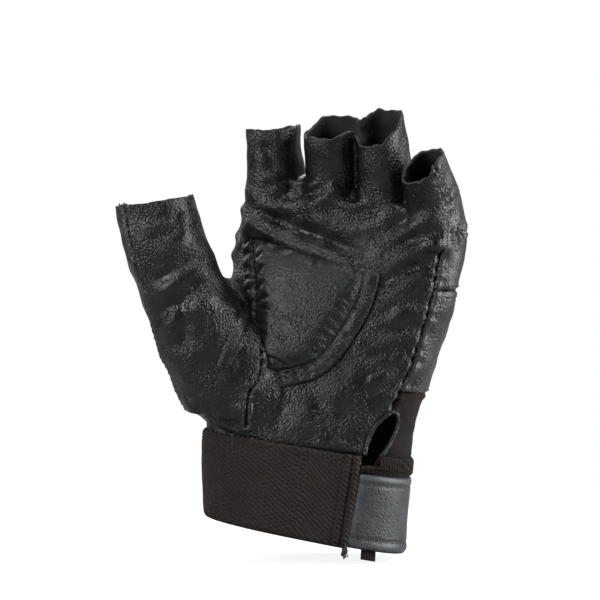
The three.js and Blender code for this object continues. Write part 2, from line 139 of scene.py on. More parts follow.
class Tube:
    def __init__(self, rows, start=0.0, end=1.0, count=41):
        self.shares = np.linspace(start, end, count)
        self.rows = np.array([along(rows, s) for s in self.shares])
        self.turns = np.array([turnOf(row) for row in self.rows])

    def point(self, angle, share):
        row = np.array([np.interp(share, self.shares, self.rows[:, k]) for k in range(9)])
        c, s = math.cos(math.radians(angle)), math.sin(math.radians(angle))
        power = 2 / row[8]
        across = row[6] * math.copysign(abs(c)**power, c)
        deep = row[7] * math.copysign(abs(s)**power, s)
        return turnOf(row) @ np.array([across, deep, 0]) + row[:3]

    def read(self, points):  # where points lie: angle, share, height of the middle, distance outside
        out = {}
        step = np.einsum("nkj,kj->nk", points[:, None, :] - self.rows[None, :, :3], self.turns[:, :, 2])
        nearest = np.argmin(np.abs(step), axis=1)
        reach = np.take_along_axis(step, nearest[:, None], 1)[:, 0]
        other = np.clip(nearest + np.where(reach > 0, 1, -1), 0, len(self.rows) - 1)
        otherReach = np.abs(np.take_along_axis(step, other[:, None], 1)[:, 0])
        blend = np.where(other == nearest, 0, np.abs(reach) / np.maximum(np.abs(reach) + otherReach, 1e-9))
        rows = self.rows[nearest] * (1 - blend[:, None]) + self.rows[other] * blend[:, None]
        local = np.einsum("nj,njk->nk", points - rows[:, :3], self.turns[nearest])
        power = rows[:, 8] / 2
        x = np.sign(local[:, 0]) * np.abs(local[:, 0] / rows[:, 6])**power
        y = np.sign(local[:, 1]) * np.abs(local[:, 1] / rows[:, 7])**power
        ratio = np.maximum((x * x + y * y)**(1 / rows[:, 8]), 1e-6)
        out["angle"] = np.degrees(np.arctan2(y, x)) % 360
        out["share"] = self.shares[nearest] * (1 - blend) + self.shares[other] * blend
        out["height"] = rows[:, 2]
        out["outside"] = np.hypot(local[:, 0], local[:, 1]) * (1 - 1 / ratio)
        return out


handTube = Tube(hand, -0.16, 1, 59)
thumbTube = Tube(thumb, 0, 1.12)
fingerTubes = {name: Tube(rows, -0.3, 1.25) for name, rows in fingers.items()}


def shareAtHeight(tube, height):
    return float(np.interp(height, tube.rows[:, 2], tube.shares))


def handPoint(angle, height):
    return handTube.point(angle, shareAtHeight(handTube, height))


def newObject(name, verts, faces):
    mesh = bpy.data.meshes.new(name)
    verts = [tuple(v) for v in np.asarray(verts) * millimetre]
    mesh.from_pydata(verts, [], [tuple(map(int, f)) for f in faces])
    mesh.validate()
    mesh.polygons.foreach_set("use_smooth", [True] * len(mesh.polygons))
    obj = bpy.data.objects.new(name, mesh)
    bpy.context.collection.objects.link(obj)
    return obj


def applyModifiers(obj):
    bpy.context.view_layer.update()
    mesh = bpy.data.meshes.new_from_object(obj.evaluated_get(bpy.context.evaluated_depsgraph_get()))
    obj.modifiers.clear()
    old = obj.data
    obj.data = mesh
    bpy.data.meshes.remove(old)


def tubeFaces(rings, around, base=0):  # the sides and both ends of a run of rings
    faces = []
    for j in range(rings - 1):
        row = base + j * around
        above = row + around
        for k in range(around):
            n = (k + 1) % around
            faces.append((row + k, row + n, above + n, above + k))
    faces.append([base + k for k in range(around)][::-1])
    faces.append([base + (rings - 1) * around + k for k in range(around)])
    return faces


def loft(tube, start, end, steps, around=48):  # a closed form along a tube
    verts = [tube.point(360 * k / around, s) for s in np.linspace(start, end, steps) for k in range(around)]
    return verts, tubeFaces(steps, around)


def arrays(obj):  # vertices in millimetres, and triangles
    mesh = obj.data
    mesh.calc_loop_triangles()
    verts = np.empty(len(mesh.vertices) * 3)
    mesh.vertices.foreach_get("co", verts)
    tris = np.empty(len(mesh.loop_triangles) * 3, int)
    mesh.loop_triangles.foreach_get("vertices", tris)
    return verts.reshape(-1, 3) / millimetre, tris.reshape(-1, 3)


def normals(verts, tris):
    face = np.cross(verts[tris[:, 1]] - verts[tris[:, 0]], verts[tris[:, 2]] - verts[tris[:, 0]])
    out = np.zeros_like(verts)
    for k in range(3):
        np.add.at(out, tris[:, k], face)
    return out / np.maximum(np.linalg.norm(out, axis=1, keepdims=True), 1e-9)


def smoothstep(low, high, x):
    t = np.clip((x - low) / (high - low), 0, 1)
    return t * t * (3 - 2 * t)


def hump(x, centre, width):
    return np.exp(-((x - centre) / width)**2)


def mix(low, high, share):
    return low + (high - low) * share


def lookUp(rows, at, given=0, wanted=1):  # reads a table between its rows
    rows = np.array(rows)
    return np.interp(at, rows[:, given], rows[:, wanted])


class Shade:  # a value in a material's nodes, with the maths written as it is read
    def __init__(self, tree, socket=None):
        self.tree, self.socket = tree, socket

    def node(self, kind, settings=None, inputs=None, output=0):
        made = self.tree.nodes.new("ShaderNode" + kind)
        for key, value in (settings or {}).items():
            setattr(made, key, value)
        for key, value in (inputs or {}).items():
            if isinstance(value, Shade):
                self.tree.links.new(value.socket, made.inputs[key])
            else:
                made.inputs[key].default_value = value
        return Shade(self.tree, None if output is None else made.outputs[output])

    def attribute(self, name, output):
        return self.node("Attribute", {"attribute_name": name}, None, output)

    def maths(self, operation, *values):
        return self.node("Math", {"operation": operation}, dict(enumerate(values)))

    def __add__(self, other):
        return self.maths("ADD", self, other)

    def __radd__(self, other):
        return self.maths("ADD", other, self)

    def __sub__(self, other):
        return self.maths("SUBTRACT", self, other)

    def __rsub__(self, other):
        return self.maths("SUBTRACT", other, self)

    def __mul__(self, other):
        return self.maths("MULTIPLY", self, other)

    def between(self, low, high):  # 0 below low, 1 above high, smooth
        inputs = {"Value": self, "From Min": low, "From Max": high}
        return self.node("MapRange", {"interpolation_type": "SMOOTHSTEP"}, inputs)

    def sine(self):
        return self.maths("SINE", self)

    def part(self, axis):  # one part of a vector
        return self.node("SeparateXYZ", None, {"Vector": self}, axis)

    def stretched(self, scale):  # a vector scaled along each axis
        return self.node("VectorMath", {"operation": "MULTIPLY"}, {0: self, 1: scale})

    def shifted(self, other):
        return self.node("VectorMath", {"operation": "ADD"}, {0: self, 1: other})

    def noise(self, scale, detail=2, roughness=0.5, distortion=0):
        return self.node("TexNoise", None, {"Vector": self, "Scale": scale, "Detail": detail,
                                            "Roughness": roughness, "Distortion": distortion})

    def warp(self, scale, amount):  # the same place, pushed about by noise
        push = self.node("TexNoise", None, {"Vector": self, "Scale": scale, "Detail": 2}, "Color")
        push = self.node("VectorMath", {"operation": "SUBTRACT"}, {0: push, 1: (0.5, 0.5, 0.5)})
        return self.shifted(self.node("VectorMath", {"operation": "SCALE"}, {0: push, "Scale": amount}))

    def cells(self, scale, feature="F1"):
        return self.node("TexVoronoi", {"feature": feature}, {"Vector": self, "Scale": scale}, "Distance")

    def tint(self, dark, light):  # a colour from dark to light by this value
        return self.node("Mix", {"data_type": "RGBA"}, {"Factor": self, 6: (*dark, 1), 7: (*light, 1)}, 2)

    def over(self, base, colour):  # the colour laid over the base by this value
        return self.node("Mix", {"data_type": "RGBA"}, {"Factor": self, 6: base, 7: (*colour, 1)}, 2)


def newMaterial(name):
    material = bpy.data.materials.new(name)
    material.use_nodes = True
    return material, Shade(material.node_tree).attribute("rest", "Vector")


def connect(material, values):
    shader = material.node_tree.nodes["Principled BSDF"]
    for key, value in values.items():
        if isinstance(value, Shade):
            value.tree.links.new(value.socket, shader.inputs[key])
        else:
            shader.inputs[key].default_value = value
    return material


def bumped(height, depth):  # the height is 0 to 1, and the depth in millimetres
    return height.node("Bump", None, {"Height": height, "Strength": 1.0, "Distance": depth * millimetre})


def leather(name, look):
    material, place = newMaterial(name)
    bent = place.warp(0.5, 0.9)
    grain = bent.cells(1 / look["grain"])
    pebble = 1 - grain * grain * 1.7
    fine = bent.cells(2.1 / look["grain"])
    broad = place.noise(0.05, 3)
    patchy = place.noise(0.11, 3).between(0.42, 0.62)
    hair = place.warp(0.12, 9).stretched(look["stretch"]).cells(0.22, "DISTANCE_TO_EDGE").between(0, 0.07)
    crushed = place.warp(0.09, 6).stretched(look["stretch"]).noise(0.55, 5, 0.62, 0.8)
    worn = place.noise(0.16, 4, 0.62).between(0.45, 0.7)
    edge = place.attribute("seamDistance", "Fac")
    # a lighter band a few millimetres beside the seams: partly rubbed wear, partly painted highlight on the
    # turned seam edges
    rubbedAndHighlight = edge.between(0.5, 1.0) * (1 - edge.between(1.6, 3.6))
    supple = place.noise(0.09, 2).between(0.35, 0.65) * 0.6 + 0.4
    height = (pebble * 0.5 - fine * 0.12) * supple
    height = height - (1 - hair) * patchy * look["hair"] + crushed * look["crush"]
    lift = worn * 0.35 + broad * 0.3 + rubbedAndHighlight * look["rubAndHighlight"] + pebble * 0.22
    colour = lift.tint(look["dark"], look["light"])
    # fine painted highlight lines about a millimetre beside each seam, patchy with the wear, where the turned
    # edges would catch the light
    line = edge.between(0.4, 0.8) * (1 - edge.between(1.2, 2.0)) * worn
    return connect(material, {
        "Base Color": (line * 0.75 + rubbedAndHighlight * 0.15).over(colour, look["edge"]),
        "Roughness": look["roughness"] + (broad - 0.5) * 0.3 + worn * 0.12 - rubbedAndHighlight * 0.05,
        "Normal": bumped(height, look["depth"]),
        "Specular IOR Level": look["shine"],
    })


# in each look, edge is the light colour laid beside the seams as painted highlight and rubbed wear, and rub
# sets how far the band beside the seams lifts the colour
leatherLooks = {
    "palm": {"dark": (0.002, 0.002, 0.0024), "light": (0.0055, 0.0055, 0.0065), "edge": (0.05, 0.05, 0.052),
             "roughness": 0.34, "grain": 0.95, "depth": 0.46, "hair": 0.12, "crush": 0.12,
             "stretch": (0.5, 0.7, 1.1), "rubAndHighlight": 0.35, "shine": 0.46},
    "patch": {"dark": (0.003, 0.0033, 0.0033), "light": (0.013, 0.0145, 0.0138), "edge": (0.03, 0.032, 0.031),
              "roughness": 0.38, "grain": 0.9, "depth": 0.36, "hair": 0.08, "crush": 0.12,
              "stretch": (0.35, 0.6, 1.2), "rubAndHighlight": 0.25, "shine": 0.36},
    # the back leather's lighter tone is partly its own charcoal colour and partly painted light falling from
    # the side
    "back": {"dark": (0.005, 0.005, 0.006), "light": (0.036, 0.036, 0.040), "edge": (0.07, 0.07, 0.072),
             "roughness": 0.36, "grain": 0.95, "depth": 0.34, "hair": 0.14, "crush": 0.2,
             "stretch": (0.5, 0.5, 0.8), "rubAndHighlight": 0.45, "shine": 0.45},
    "strap": {"dark": (0.017, 0.0175, 0.020), "light": (0.060, 0.0625, 0.070), "edge": (0.08, 0.082, 0.088),
              "roughness": 0.42, "grain": 0.8, "depth": 0.2, "hair": 0.06, "crush": 0.7,
              "stretch": (0.35, 0.35, 1.3), "rubAndHighlight": 0.5, "shine": 0.45},
}
palmLeather, patchLeather, backLeather, strapLeather = [
    leather(name + "Leather", look) for name, look in leatherLooks.items()]


def suede(name):  # the leather's inner face
    material, place = newMaterial(name)
    nap = place.noise(2.2, 4, 0.7)
    tone = place.noise(0.1, 3)
    return connect(material, {
        "Base Color": (tone * 0.6 + nap * 0.4).tint((0.008, 0.008, 0.009), (0.035, 0.034, 0.034)),
        "Roughness": 0.9,
        "Normal": bumped(nap, 0.2),
    })


fleshSide = suede("fleshSide")


def knit(name, look):  # elastic knit: slanting ribs crossed both ways, in the piece's own lay (across, up)
    material, place = newMaterial(name)
    lay = place.attribute("lay", "Vector")
    loose = lay.warp(0.22, look["loose"])
    u, v = loose.part(0), loose.part(1)
    turn = 2 * math.pi
    ribA = ((u * look["ribs"] + v * look["rows"]) * turn).sine() * 0.5 + 0.5
    ribB = ((u * look["ribs"] * 0.6 - v * look["rows"]) * turn).sine() * 0.5 + 0.5
    yarn = ((u * look["yarn"] - v * 0.2) * turn).sine() * 0.5 + 0.5
    patchy = place.noise(0.12, 3).between(0.35, 0.65)
    twill = ribA * (0.5 + patchy * 0.5) + ribB * (1 - patchy) * 0.5
    fuzz = place.noise(2.6, 4, 0.75)
    fleck = place.noise(1.1, 3, 0.7).between(0.55, 0.8)
    tone = place.noise(0.07, 3)
    height = twill * 0.6 + yarn * ribA * 0.25 + fuzz * 0.35
    lift = twill * yarn * 0.35 + fleck * 0.35 + fuzz * 0.2 + tone * 0.25
    return connect(material, {
        "Base Color": lift.tint(look["dark"], look["light"]),
        "Roughness": 0.9,
        "Normal": bumped(height, look["depth"]),
        "Specular IOR Level": 0.2,
    })


knitLooks = {
    "cuff": {"dark": (0.003, 0.0024, 0.0023), "light": (0.085, 0.066, 0.060), "ribs": 0.36, "rows": 0.52,
             "yarn": 0.95, "loose": 1.6, "depth": 1.0},
    "hem": {"dark": (0.004, 0.003, 0.003), "light": (0.045, 0.034, 0.031), "ribs": 0.6, "rows": 0.3,
            "yarn": 1.1, "loose": 0.8, "depth": 0.4},
    "fabric": {"dark": (0.004, 0.003, 0.003), "light": (0.034, 0.027, 0.025), "ribs": 0.8, "rows": 0.8,
               "yarn": 1.0, "loose": 0.5, "depth": 0.2},
}
cuffKnit = knit("cuffKnit", knitLooks["cuff"])
hemKnit = knit("hemKnit", knitLooks["hem"])
backWeave = knit("backWeave", knitLooks["fabric"])


def thread(name, dark, light):
    material, place = newMaterial(name)
    ply = ((place.part(0) + place.part(2) * 1.3 + place.part(1) * 0.7) * 9).sine() * 0.5 + 0.5
    tone = place.noise(0.5, 2)
    return connect(material, {
        "Base Color": (ply * 0.5 + tone * 0.5).tint(dark, light),
        "Roughness": 0.6,
        "Normal": bumped(ply, 0.08),
    })


blackThread = thread("blackThread", (0.006, 0.006, 0.007), (0.045, 0.043, 0.041))
darkThread = thread("darkThread", (0.004, 0.003, 0.003), (0.022, 0.017, 0.016))
# the stitching thread is black; its grey is painted highlight for the light that catches on the stitches
blackThreadPaintedLit = thread("blackThreadPaintedLit", (0.020, 0.020, 0.021), (0.110, 0.108, 0.104))


def tape(name, cells):  # the loop and hook tapes
    material, place = newMaterial(name)
    pile = place.warp(1.0, 0.5).cells(cells)
    fuzz = place.noise(2.5, 4, 0.7)
    return connect(material, {
        "Base Color": (pile * 0.6 + fuzz * 0.4).tint((0.006, 0.006, 0.006), (0.040, 0.040, 0.041)),
        "Roughness": 0.85,
        "Normal": bumped((1 - pile) * 0.7 + fuzz * 0.3, 0.5),
    })


loopTape = tape("loopTape", 0.9)
hookTape = tape("hookTape", 1.4)


def wrap(angle):  # an angle's difference, from -180 to 180
    return (angle + 180) % 360 - 180


# the skin: one closed surface over the whole hand, from which the panels are cut
skin = {
    "voxel": 1.0,
    "smoothing": 10,
    "snap": 0.12,  # a corner this close to a cut line is taken to lie on it
    "bottom": 31,  # the leather goes down inside the cuff
    "top": 137,  # where the palm's own form ends and the fingers take over
    "webRows": [(-27, -2, 84, 0, -10, -10, 9, 9, 2.2), (-30.5, -3, 97, 0, -6, -10, 8, 7, 2.2),
                (-32, -3.5, 104.5, 0, 0, -10, 6, 4, 2.2)],
}


def makeSkin():
    verts, faces = [], []

    def put(part):
        faces.extend([[i + len(verts) for i in f] for f in part[1]])
        verts.extend(part[0])

    put(loft(handTube, shareAtHeight(handTube, 20), shareAtHeight(handTube, skin["top"]), 40, 72))
    put(loft(thumbTube, 0.02, 1.1, 36))
    order = list(fingers)
    for tube in fingerTubes.values():
        put(loft(tube, -0.1, 1.2, 24))
    for first, second in zip(order, order[1:]):  # the skin between two fingers
        rows = []
        top = webs[first]
        for height, narrow in ((118, 1.0), (top - 9, 0.95), (top - 3, 0.7), (top, 0.3)):
            one, two = [along(fingers[name], shareAtHeight(fingerTubes[name], height))
                        for name in (first, second)]
            row = (one + two) / 2
            row[6] = 7
            row[7] = row[7] * narrow * 0.9
            row[8] = 2.2
            rows.append(row)
        put(loft(Tube(rows), 0, 1, 12, 32))
    put(loft(Tube(skin["webRows"]), 0, 1, 12, 32))
    body = newObject("skin", verts, faces)
    remesh = body.modifiers.new("remesh", "REMESH")
    remesh.mode = "VOXEL"
    remesh.voxel_size = skin["voxel"] * millimetre
    smooth = body.modifiers.new("smooth", "SMOOTH")
    smooth.factor = 0.5
    smooth.iterations = skin["smoothing"]
    applyModifiers(body)
    verts, tris = arrays(body)
    bpy.data.objects.remove(body)
    return verts, tris


def readTubes(points):  # for each form of the hand, where the points lie in it
    tubes = {"hand": handTube, "thumb": thumbTube, **fingerTubes}
    return {name: tube.read(points) for name, tube in tubes.items()}


def turned(rows, first):  # the columns of the rows, each row rolled round to start at its own place
    return np.take_along_axis(rows, (first[:, None] + np.arange(3)) % 3, 1).T


class Surface:
    def __init__(self, verts, tris):
        self.verts, self.tris = verts, tris
        self.reads = readTubes(verts)

    def cut(self, field):  # splits the triangles along the field's zero line
        value = field(self)
        value = np.where(np.abs(value) < skin["snap"], 0, value)
        a, b = self.tris, np.roll(self.tris, -1, axis=1)
        crossing = value[a] * value[b] < 0
        low, high = np.minimum(a, b)[crossing], np.maximum(a, b)[crossing]
        pairs, back = np.unique(np.stack([low, high], 1), axis=0, return_inverse=True)
        if not len(pairs):
            return
        back = back.reshape(-1)
        share = value[pairs[:, 0]] / (value[pairs[:, 0]] - value[pairs[:, 1]])
        fresh = self.verts[pairs[:, 0]] * (1 - share[:, None]) + self.verts[pairs[:, 1]] * share[:, None]
        middle = np.full(self.tris.shape, -1)
        middle[crossing] = back + len(self.verts)
        count = crossing.sum(axis=1)
        one, two = count == 1, count == 2
        first = np.argmax(crossing[one], axis=1)
        p, q, o = turned(self.tris[one], first)
        mid = turned(middle[one], first)[0]
        parts = [self.tris[count == 0], np.stack([p, mid, o], 1), np.stack([mid, q, o], 1)]
        first = np.argmin(crossing[two], axis=1)  # the side that isn't crossed
        p, q, o = turned(self.tris[two], first)
        beyondQ, beforeP = turned(middle[two], first)[1:]
        parts += [np.stack([p, q, beyondQ], 1), np.stack([p, beyondQ, beforeP], 1)]
        parts.append(np.stack([beforeP, beyondQ, o], 1))
        self.verts = np.concatenate([self.verts, fresh])
        self.tris = np.concatenate(parts)
        new = readTubes(fresh)
        for name, read in self.reads.items():
            for key in read:
                read[key] = np.concatenate([read[key], new[name][key]])


far = 20.0  # a field's value well away from its cut line


def owner(surface):  # the finger nearest to each vertex
    outside = np.stack([np.abs(surface.reads[name]["outside"]) for name in fingers])
    return np.argmin(outside, axis=0)


def fingerPick(surface, key):
    rows = np.stack([surface.reads[name][key] for name in fingers])
    return np.take_along_axis(rows, owner(surface)[None], 0)[0]


def fingerPart(surface):  # 0 on the hand, 1 on the fingers
    return smoothstep(119, 136, surface.verts[:, 2])


def thumbness(surface):  # above zero where the thumb's form stands out of the hand's
    low = surface.reads["hand"]["outside"] - surface.reads["thumb"]["outside"]
    return np.where(surface.reads["thumb"]["share"] > 0.02, low, -far)


def frontness(surface):  # above zero on the palm side of the side seams
    hand, thumb = surface.reads["hand"], surface.reads["thumb"]
    ofHand = np.minimum(wrap(hand["angle"] - seams["thumbSide"]),
                        wrap(lookUp(seams["side"], hand["height"]) - hand["angle"])) * 0.5
    angle = fingerPick(surface, "angle")
    isLittle = owner(surface) == 3
    ofFinger = -np.sin(np.radians(angle + np.where(isLittle & (np.abs(wrap(angle)) < 90), 10, 0))) * 12
    split = lookUp(seams["thumbOuter"], thumb["share"])
    ofThumb = np.minimum(wrap(thumb["angle"] - split), wrap(seams["thumbInner"] - thumb["angle"])) * 0.28
    part = fingerPart(surface)
    base = ofHand * (1 - part) + ofFinger * part
    onThumb = smoothstep(-2, 5, thumbness(surface)) * (surface.verts[:, 0] < 0)
    return base * (1 - onThumb) + ofThumb * onThumb


def thumbField(surface):  # above zero on the thumb's own leather
    x, y, z = surface.verts.T
    front = (lookUp(seams["thumbPalm"], z, 1, 0) - x) * 0.9
    back = thumbness(surface)
    part = smoothstep(-6, 3, y)
    high = smoothstep(112, 106, z) * 2 * far - far
    return np.minimum(front * (1 - part) + back * part, np.where(back > 3, far, high))


def cutEdge(read, name):  # how far below a stall's wavy cut end
    angle = np.radians(read["angle"])
    out = (1 - read["share"]) * rims[name]["length"]
    for size, turns, phase in rims[name]["waves"]:
        out = out + size * np.sin(turns * angle + phase)
    return out


def rimField(surface):  # above zero below the cut ends of the stalls
    keep = np.full(len(surface.verts), far)
    mine = owner(surface)
    onFingers = (surface.verts[:, 2] > 128) & (thumbness(surface) < 20)
    for i, name in enumerate(fingers):
        keep = np.where((mine == i) & onFingers, np.minimum(keep, cutEdge(surface.reads[name], name)), keep)
    onThumb = (surface.verts[:, 0] < -34) & (surface.verts[:, 2] > 95)
    return np.where(onThumb, np.minimum(far, cutEdge(surface.reads["thumb"], "thumb")), keep)


def bottomField(surface):
    height = surface.reads["hand"]["height"]
    return height - skin["bottom"] - far * smoothstep(0, 10, surface.verts[:, 2] - 60)


def ventSides(height):  # the two edges of the slit, in degrees
    return lookUp(vent["edges"], height), lookUp(vent["edges"], height, 0, 2)


def ventField(surface):  # above zero in the slit's opening
    hand = surface.reads["hand"]
    left, right = ventSides(hand["height"])
    width = np.minimum(hand["angle"] - left, right - hand["angle"]) * 0.6
    return np.where((hand["height"] < 60) & (hand["angle"] > 250), width, -far)


def fourchetteField(surface):  # above zero on the strips between two fingers
    value = np.full(len(surface.verts), -far)
    mine = owner(surface)
    names = list(fingers)
    for i, name in enumerate(names):
        read = surface.reads[name]
        for side, web in ((0, webs.get(name)), (180, webs.get(names[i - 1]) if i else None)):
            if web is None:
                continue
            reach = gusset["halfAngle"] - np.abs(wrap(read["angle"] - side))
            above = (surface.verts[:, 2] - web + gusset["drop"]) * 1.2
            strip = np.minimum(reach * 0.22, above)
            value = np.where(mine == i, np.maximum(value, strip), value)
    return value


def knuckleField(surface):
    return surface.reads["hand"]["height"] - seams["knuckle"] - far * smoothstep(0, 8, thumbness(surface))


def fabricField(surface):
    return surface.reads["hand"]["height"] - seams["fabricTop"]


rims = {
    "index": {"length": 41, "waves": [(0.5, 2, 0.4), (0.35, 5, 1.0), (0.2, 11, 0)]},
    "middle": {"length": 41, "waves": [(0.5, 3, 1.4), (0.3, 6, 0.2), (0.2, 13, 2)]},
    "ring": {"length": 43, "waves": [(0.8, 2, 2.4), (0.4, 7, 0), (0.25, 13, 1)]},
    "little": {"length": 33, "waves": [(0.6, 2, 1.4), (0.35, 5, 2.0), (0.2, 12, 0)]},
    "thumb": {"length": 112, "waves": [(0.45, 2, 0.9), (0.3, 5, 0), (0.15, 11, 1)]},
}
gusset = {"halfAngle": 34, "drop": 2}
vent = {  # height, palm edge, fabric edge
    "edges": [(28, 301, 304), (36, 301.5, 312), (40, 303, 319), (44, 306, 326), (48, 309.5, 330),
              (51, 314, 329.5), (53, 319.5, 326), (54.3, 323, 322.6), (70, 330, 310)],
    "piping": 0.95,
}
wall = {"leather": 1.2, "fabric": 1.0}
fields = {
    "bottom": bottomField,
    "rim": rimField,
    "front": frontness,
    "thumb": thumbField,
    "fabric": fabricField,
    "knuckle": knuckleField,
    "fourchette": fourchetteField,
    "vent": ventField,
}

skinVerts, skinTris = makeSkin()
print("skin", len(skinVerts), "vertices")
surface = Surface(skinVerts, skinTris)
for field in fields.values():
    surface.cut(field)
print("panels cut,", len(surface.verts), "vertices")
restTree = BVHTree.FromPolygons(surface.verts.tolist(), surface.tris.tolist())


# lines on the skin, each a list of points about a millimetre apart
def runOf(points):  # how far along the line each point lies
    return np.concatenate([[0], np.cumsum(np.linalg.norm(np.diff(points, axis=0), axis=1))])


def evenly(points, step=1.0):
    points = np.asarray(points, float)
    run = runOf(points)
    count = max(2, int(run[-1] / step) + 1)
    at = np.linspace(0, run[-1], count)
    return np.stack([np.interp(at, run, points[:, k]) for k in range(points.shape[1])], 1)


def smoothLine(points, step=1.0):  # a smooth curve through a few points
    count = 12 * (len(points) - 1) + 1
    return evenly([along(points, s) for s in np.linspace(0, 1, count)], step)


def seen(points, side=-1):  # points (x, z) seen from the palm, or from the back with side 1
    out = []
    for x, z in smoothLine(points):
        hit = restTree.ray_cast(Vector((x, side * 200, z)), Vector((0, -side, 0)))
        if hit[0] is not None:
            out.append(hit[0])
    return evenly(out)


def onHand(points):  # points (angle, height)
    return evenly([handPoint(a, h) for a, h in smoothLine(points, 0.8)])


def onTube(tube, points):  # points (angle, share)
    return evenly([tube.point(a, s) for a, s in smoothLine([(a, 60 * s) for a, s in points], 0.8) / (1, 60)])


def nearestOn(line, points):  # the place in the line nearest to each point, and how far off it is
    tree = kdtree.KDTree(len(line))
    for i, p in enumerate(line):
        tree.insert(p, i)
    tree.balance()
    found = [tree.find(p) for p in points]
    return np.array([f[1] for f in found]), np.array([f[2] for f in found])


def nearLine(line, verts, normal, reach):  # the vertices near a line, how far along it and to which side
    low, high = line.min(axis=0) - reach, line.max(axis=0) + reach
    index = np.nonzero(np.all((verts > low) & (verts < high), axis=1))[0]
    if not len(index):
        return index, np.zeros(0), np.zeros(0), 1.0
    step = nearestOn(line, verts[index])[0]
    tangent = np.gradient(line, axis=0)
    tangent /= np.maximum(np.linalg.norm(tangent, axis=1, keepdims=True), 1e-9)
    away = verts[index] - line[step]
    run = runOf(line)
    ahead = np.einsum("ij,ij->i", away, tangent[step])
    at = run[step] + ahead
    off = away - tangent[step] * ahead[:, None]
    side = np.sign(np.einsum("ij,ij->i", np.cross(tangent[step], normal[index]), away))
    distance = np.linalg.norm(off, axis=1)
    beyond = np.maximum(np.maximum(-at, at - run[-1]), 0)
    distance = np.hypot(distance, beyond)
    keep = distance < reach
    return index[keep], at[keep], (distance * side)[keep], run[-1]


def pucker(run, wave, seed):  # uneven gathers along a seam
    return np.sin(2 * np.pi * run / wave + 1.4 * np.sin(2 * np.pi * run / (wave * 2.7) + seed) + seed)


thumbOuterLine = [thumbTube.point(lookUp(seams["thumbOuter"], s), s) for s in np.linspace(0.2, 1.1, 90)]
sideLine = [(a, h) for h, a in seams["side"][2:5]] + [(327.5, 122)]
littleTop = [(352, 0.45), (351, 0.75), (350, 1.0)]
indexOuter = [(181, 0.1), (180, 0.5), (180, 1.0)]
shirrLine = [(-31, 127), (30, 129), (90, 130), (150, 130), (178, 129)]
seamLines = {
    "thumbOuter": {"line": evenly(thumbOuterLine), "pucker": 0.12, "wave": 9, "groove": 0.8},
    "thumbLow": {"line": onHand([(184, 37), (184, 50)]), "pucker": 0.2, "wave": 6, "groove": 0.6},
    "thumbPalm": {"line": seen(seams["thumbPalm"][1:-1]), "pucker": 0.45, "wave": 6, "groove": 1.0},
    "thumbSide": {"line": onHand([(184, 98), (184, 112), (184, 128)]), "pucker": 0.8, "wave": 13,
                  "groove": 0.6},
    "side": {"line": onHand(sideLine), "pucker": 0.55, "wave": 6.5, "groove": 0.9},
    "little": {"line": onTube(fingerTubes["little"], littleTop), "pucker": 0.4, "wave": 5, "groove": 0.7},
    "indexOuter": {"line": onTube(fingerTubes["index"], indexOuter), "pucker": 0.9, "wave": 13,
                   "groove": 0.6},
    "knuckle": {"line": onHand([(-31, 103), (40, 103), (110, 103), (176, 103)]), "pucker": 0.3, "wave": 7,
                "groove": 0.9},
    "shirr": {"line": onHand(shirrLine), "pucker": 0.8, "wave": 3.6, "groove": 1.3},
    "fabric": {"line": onHand([(-38, 61), (40, 61), (110, 61), (172, 61)]), "pucker": 0.2, "wave": 9,
               "groove": 0.6},
}

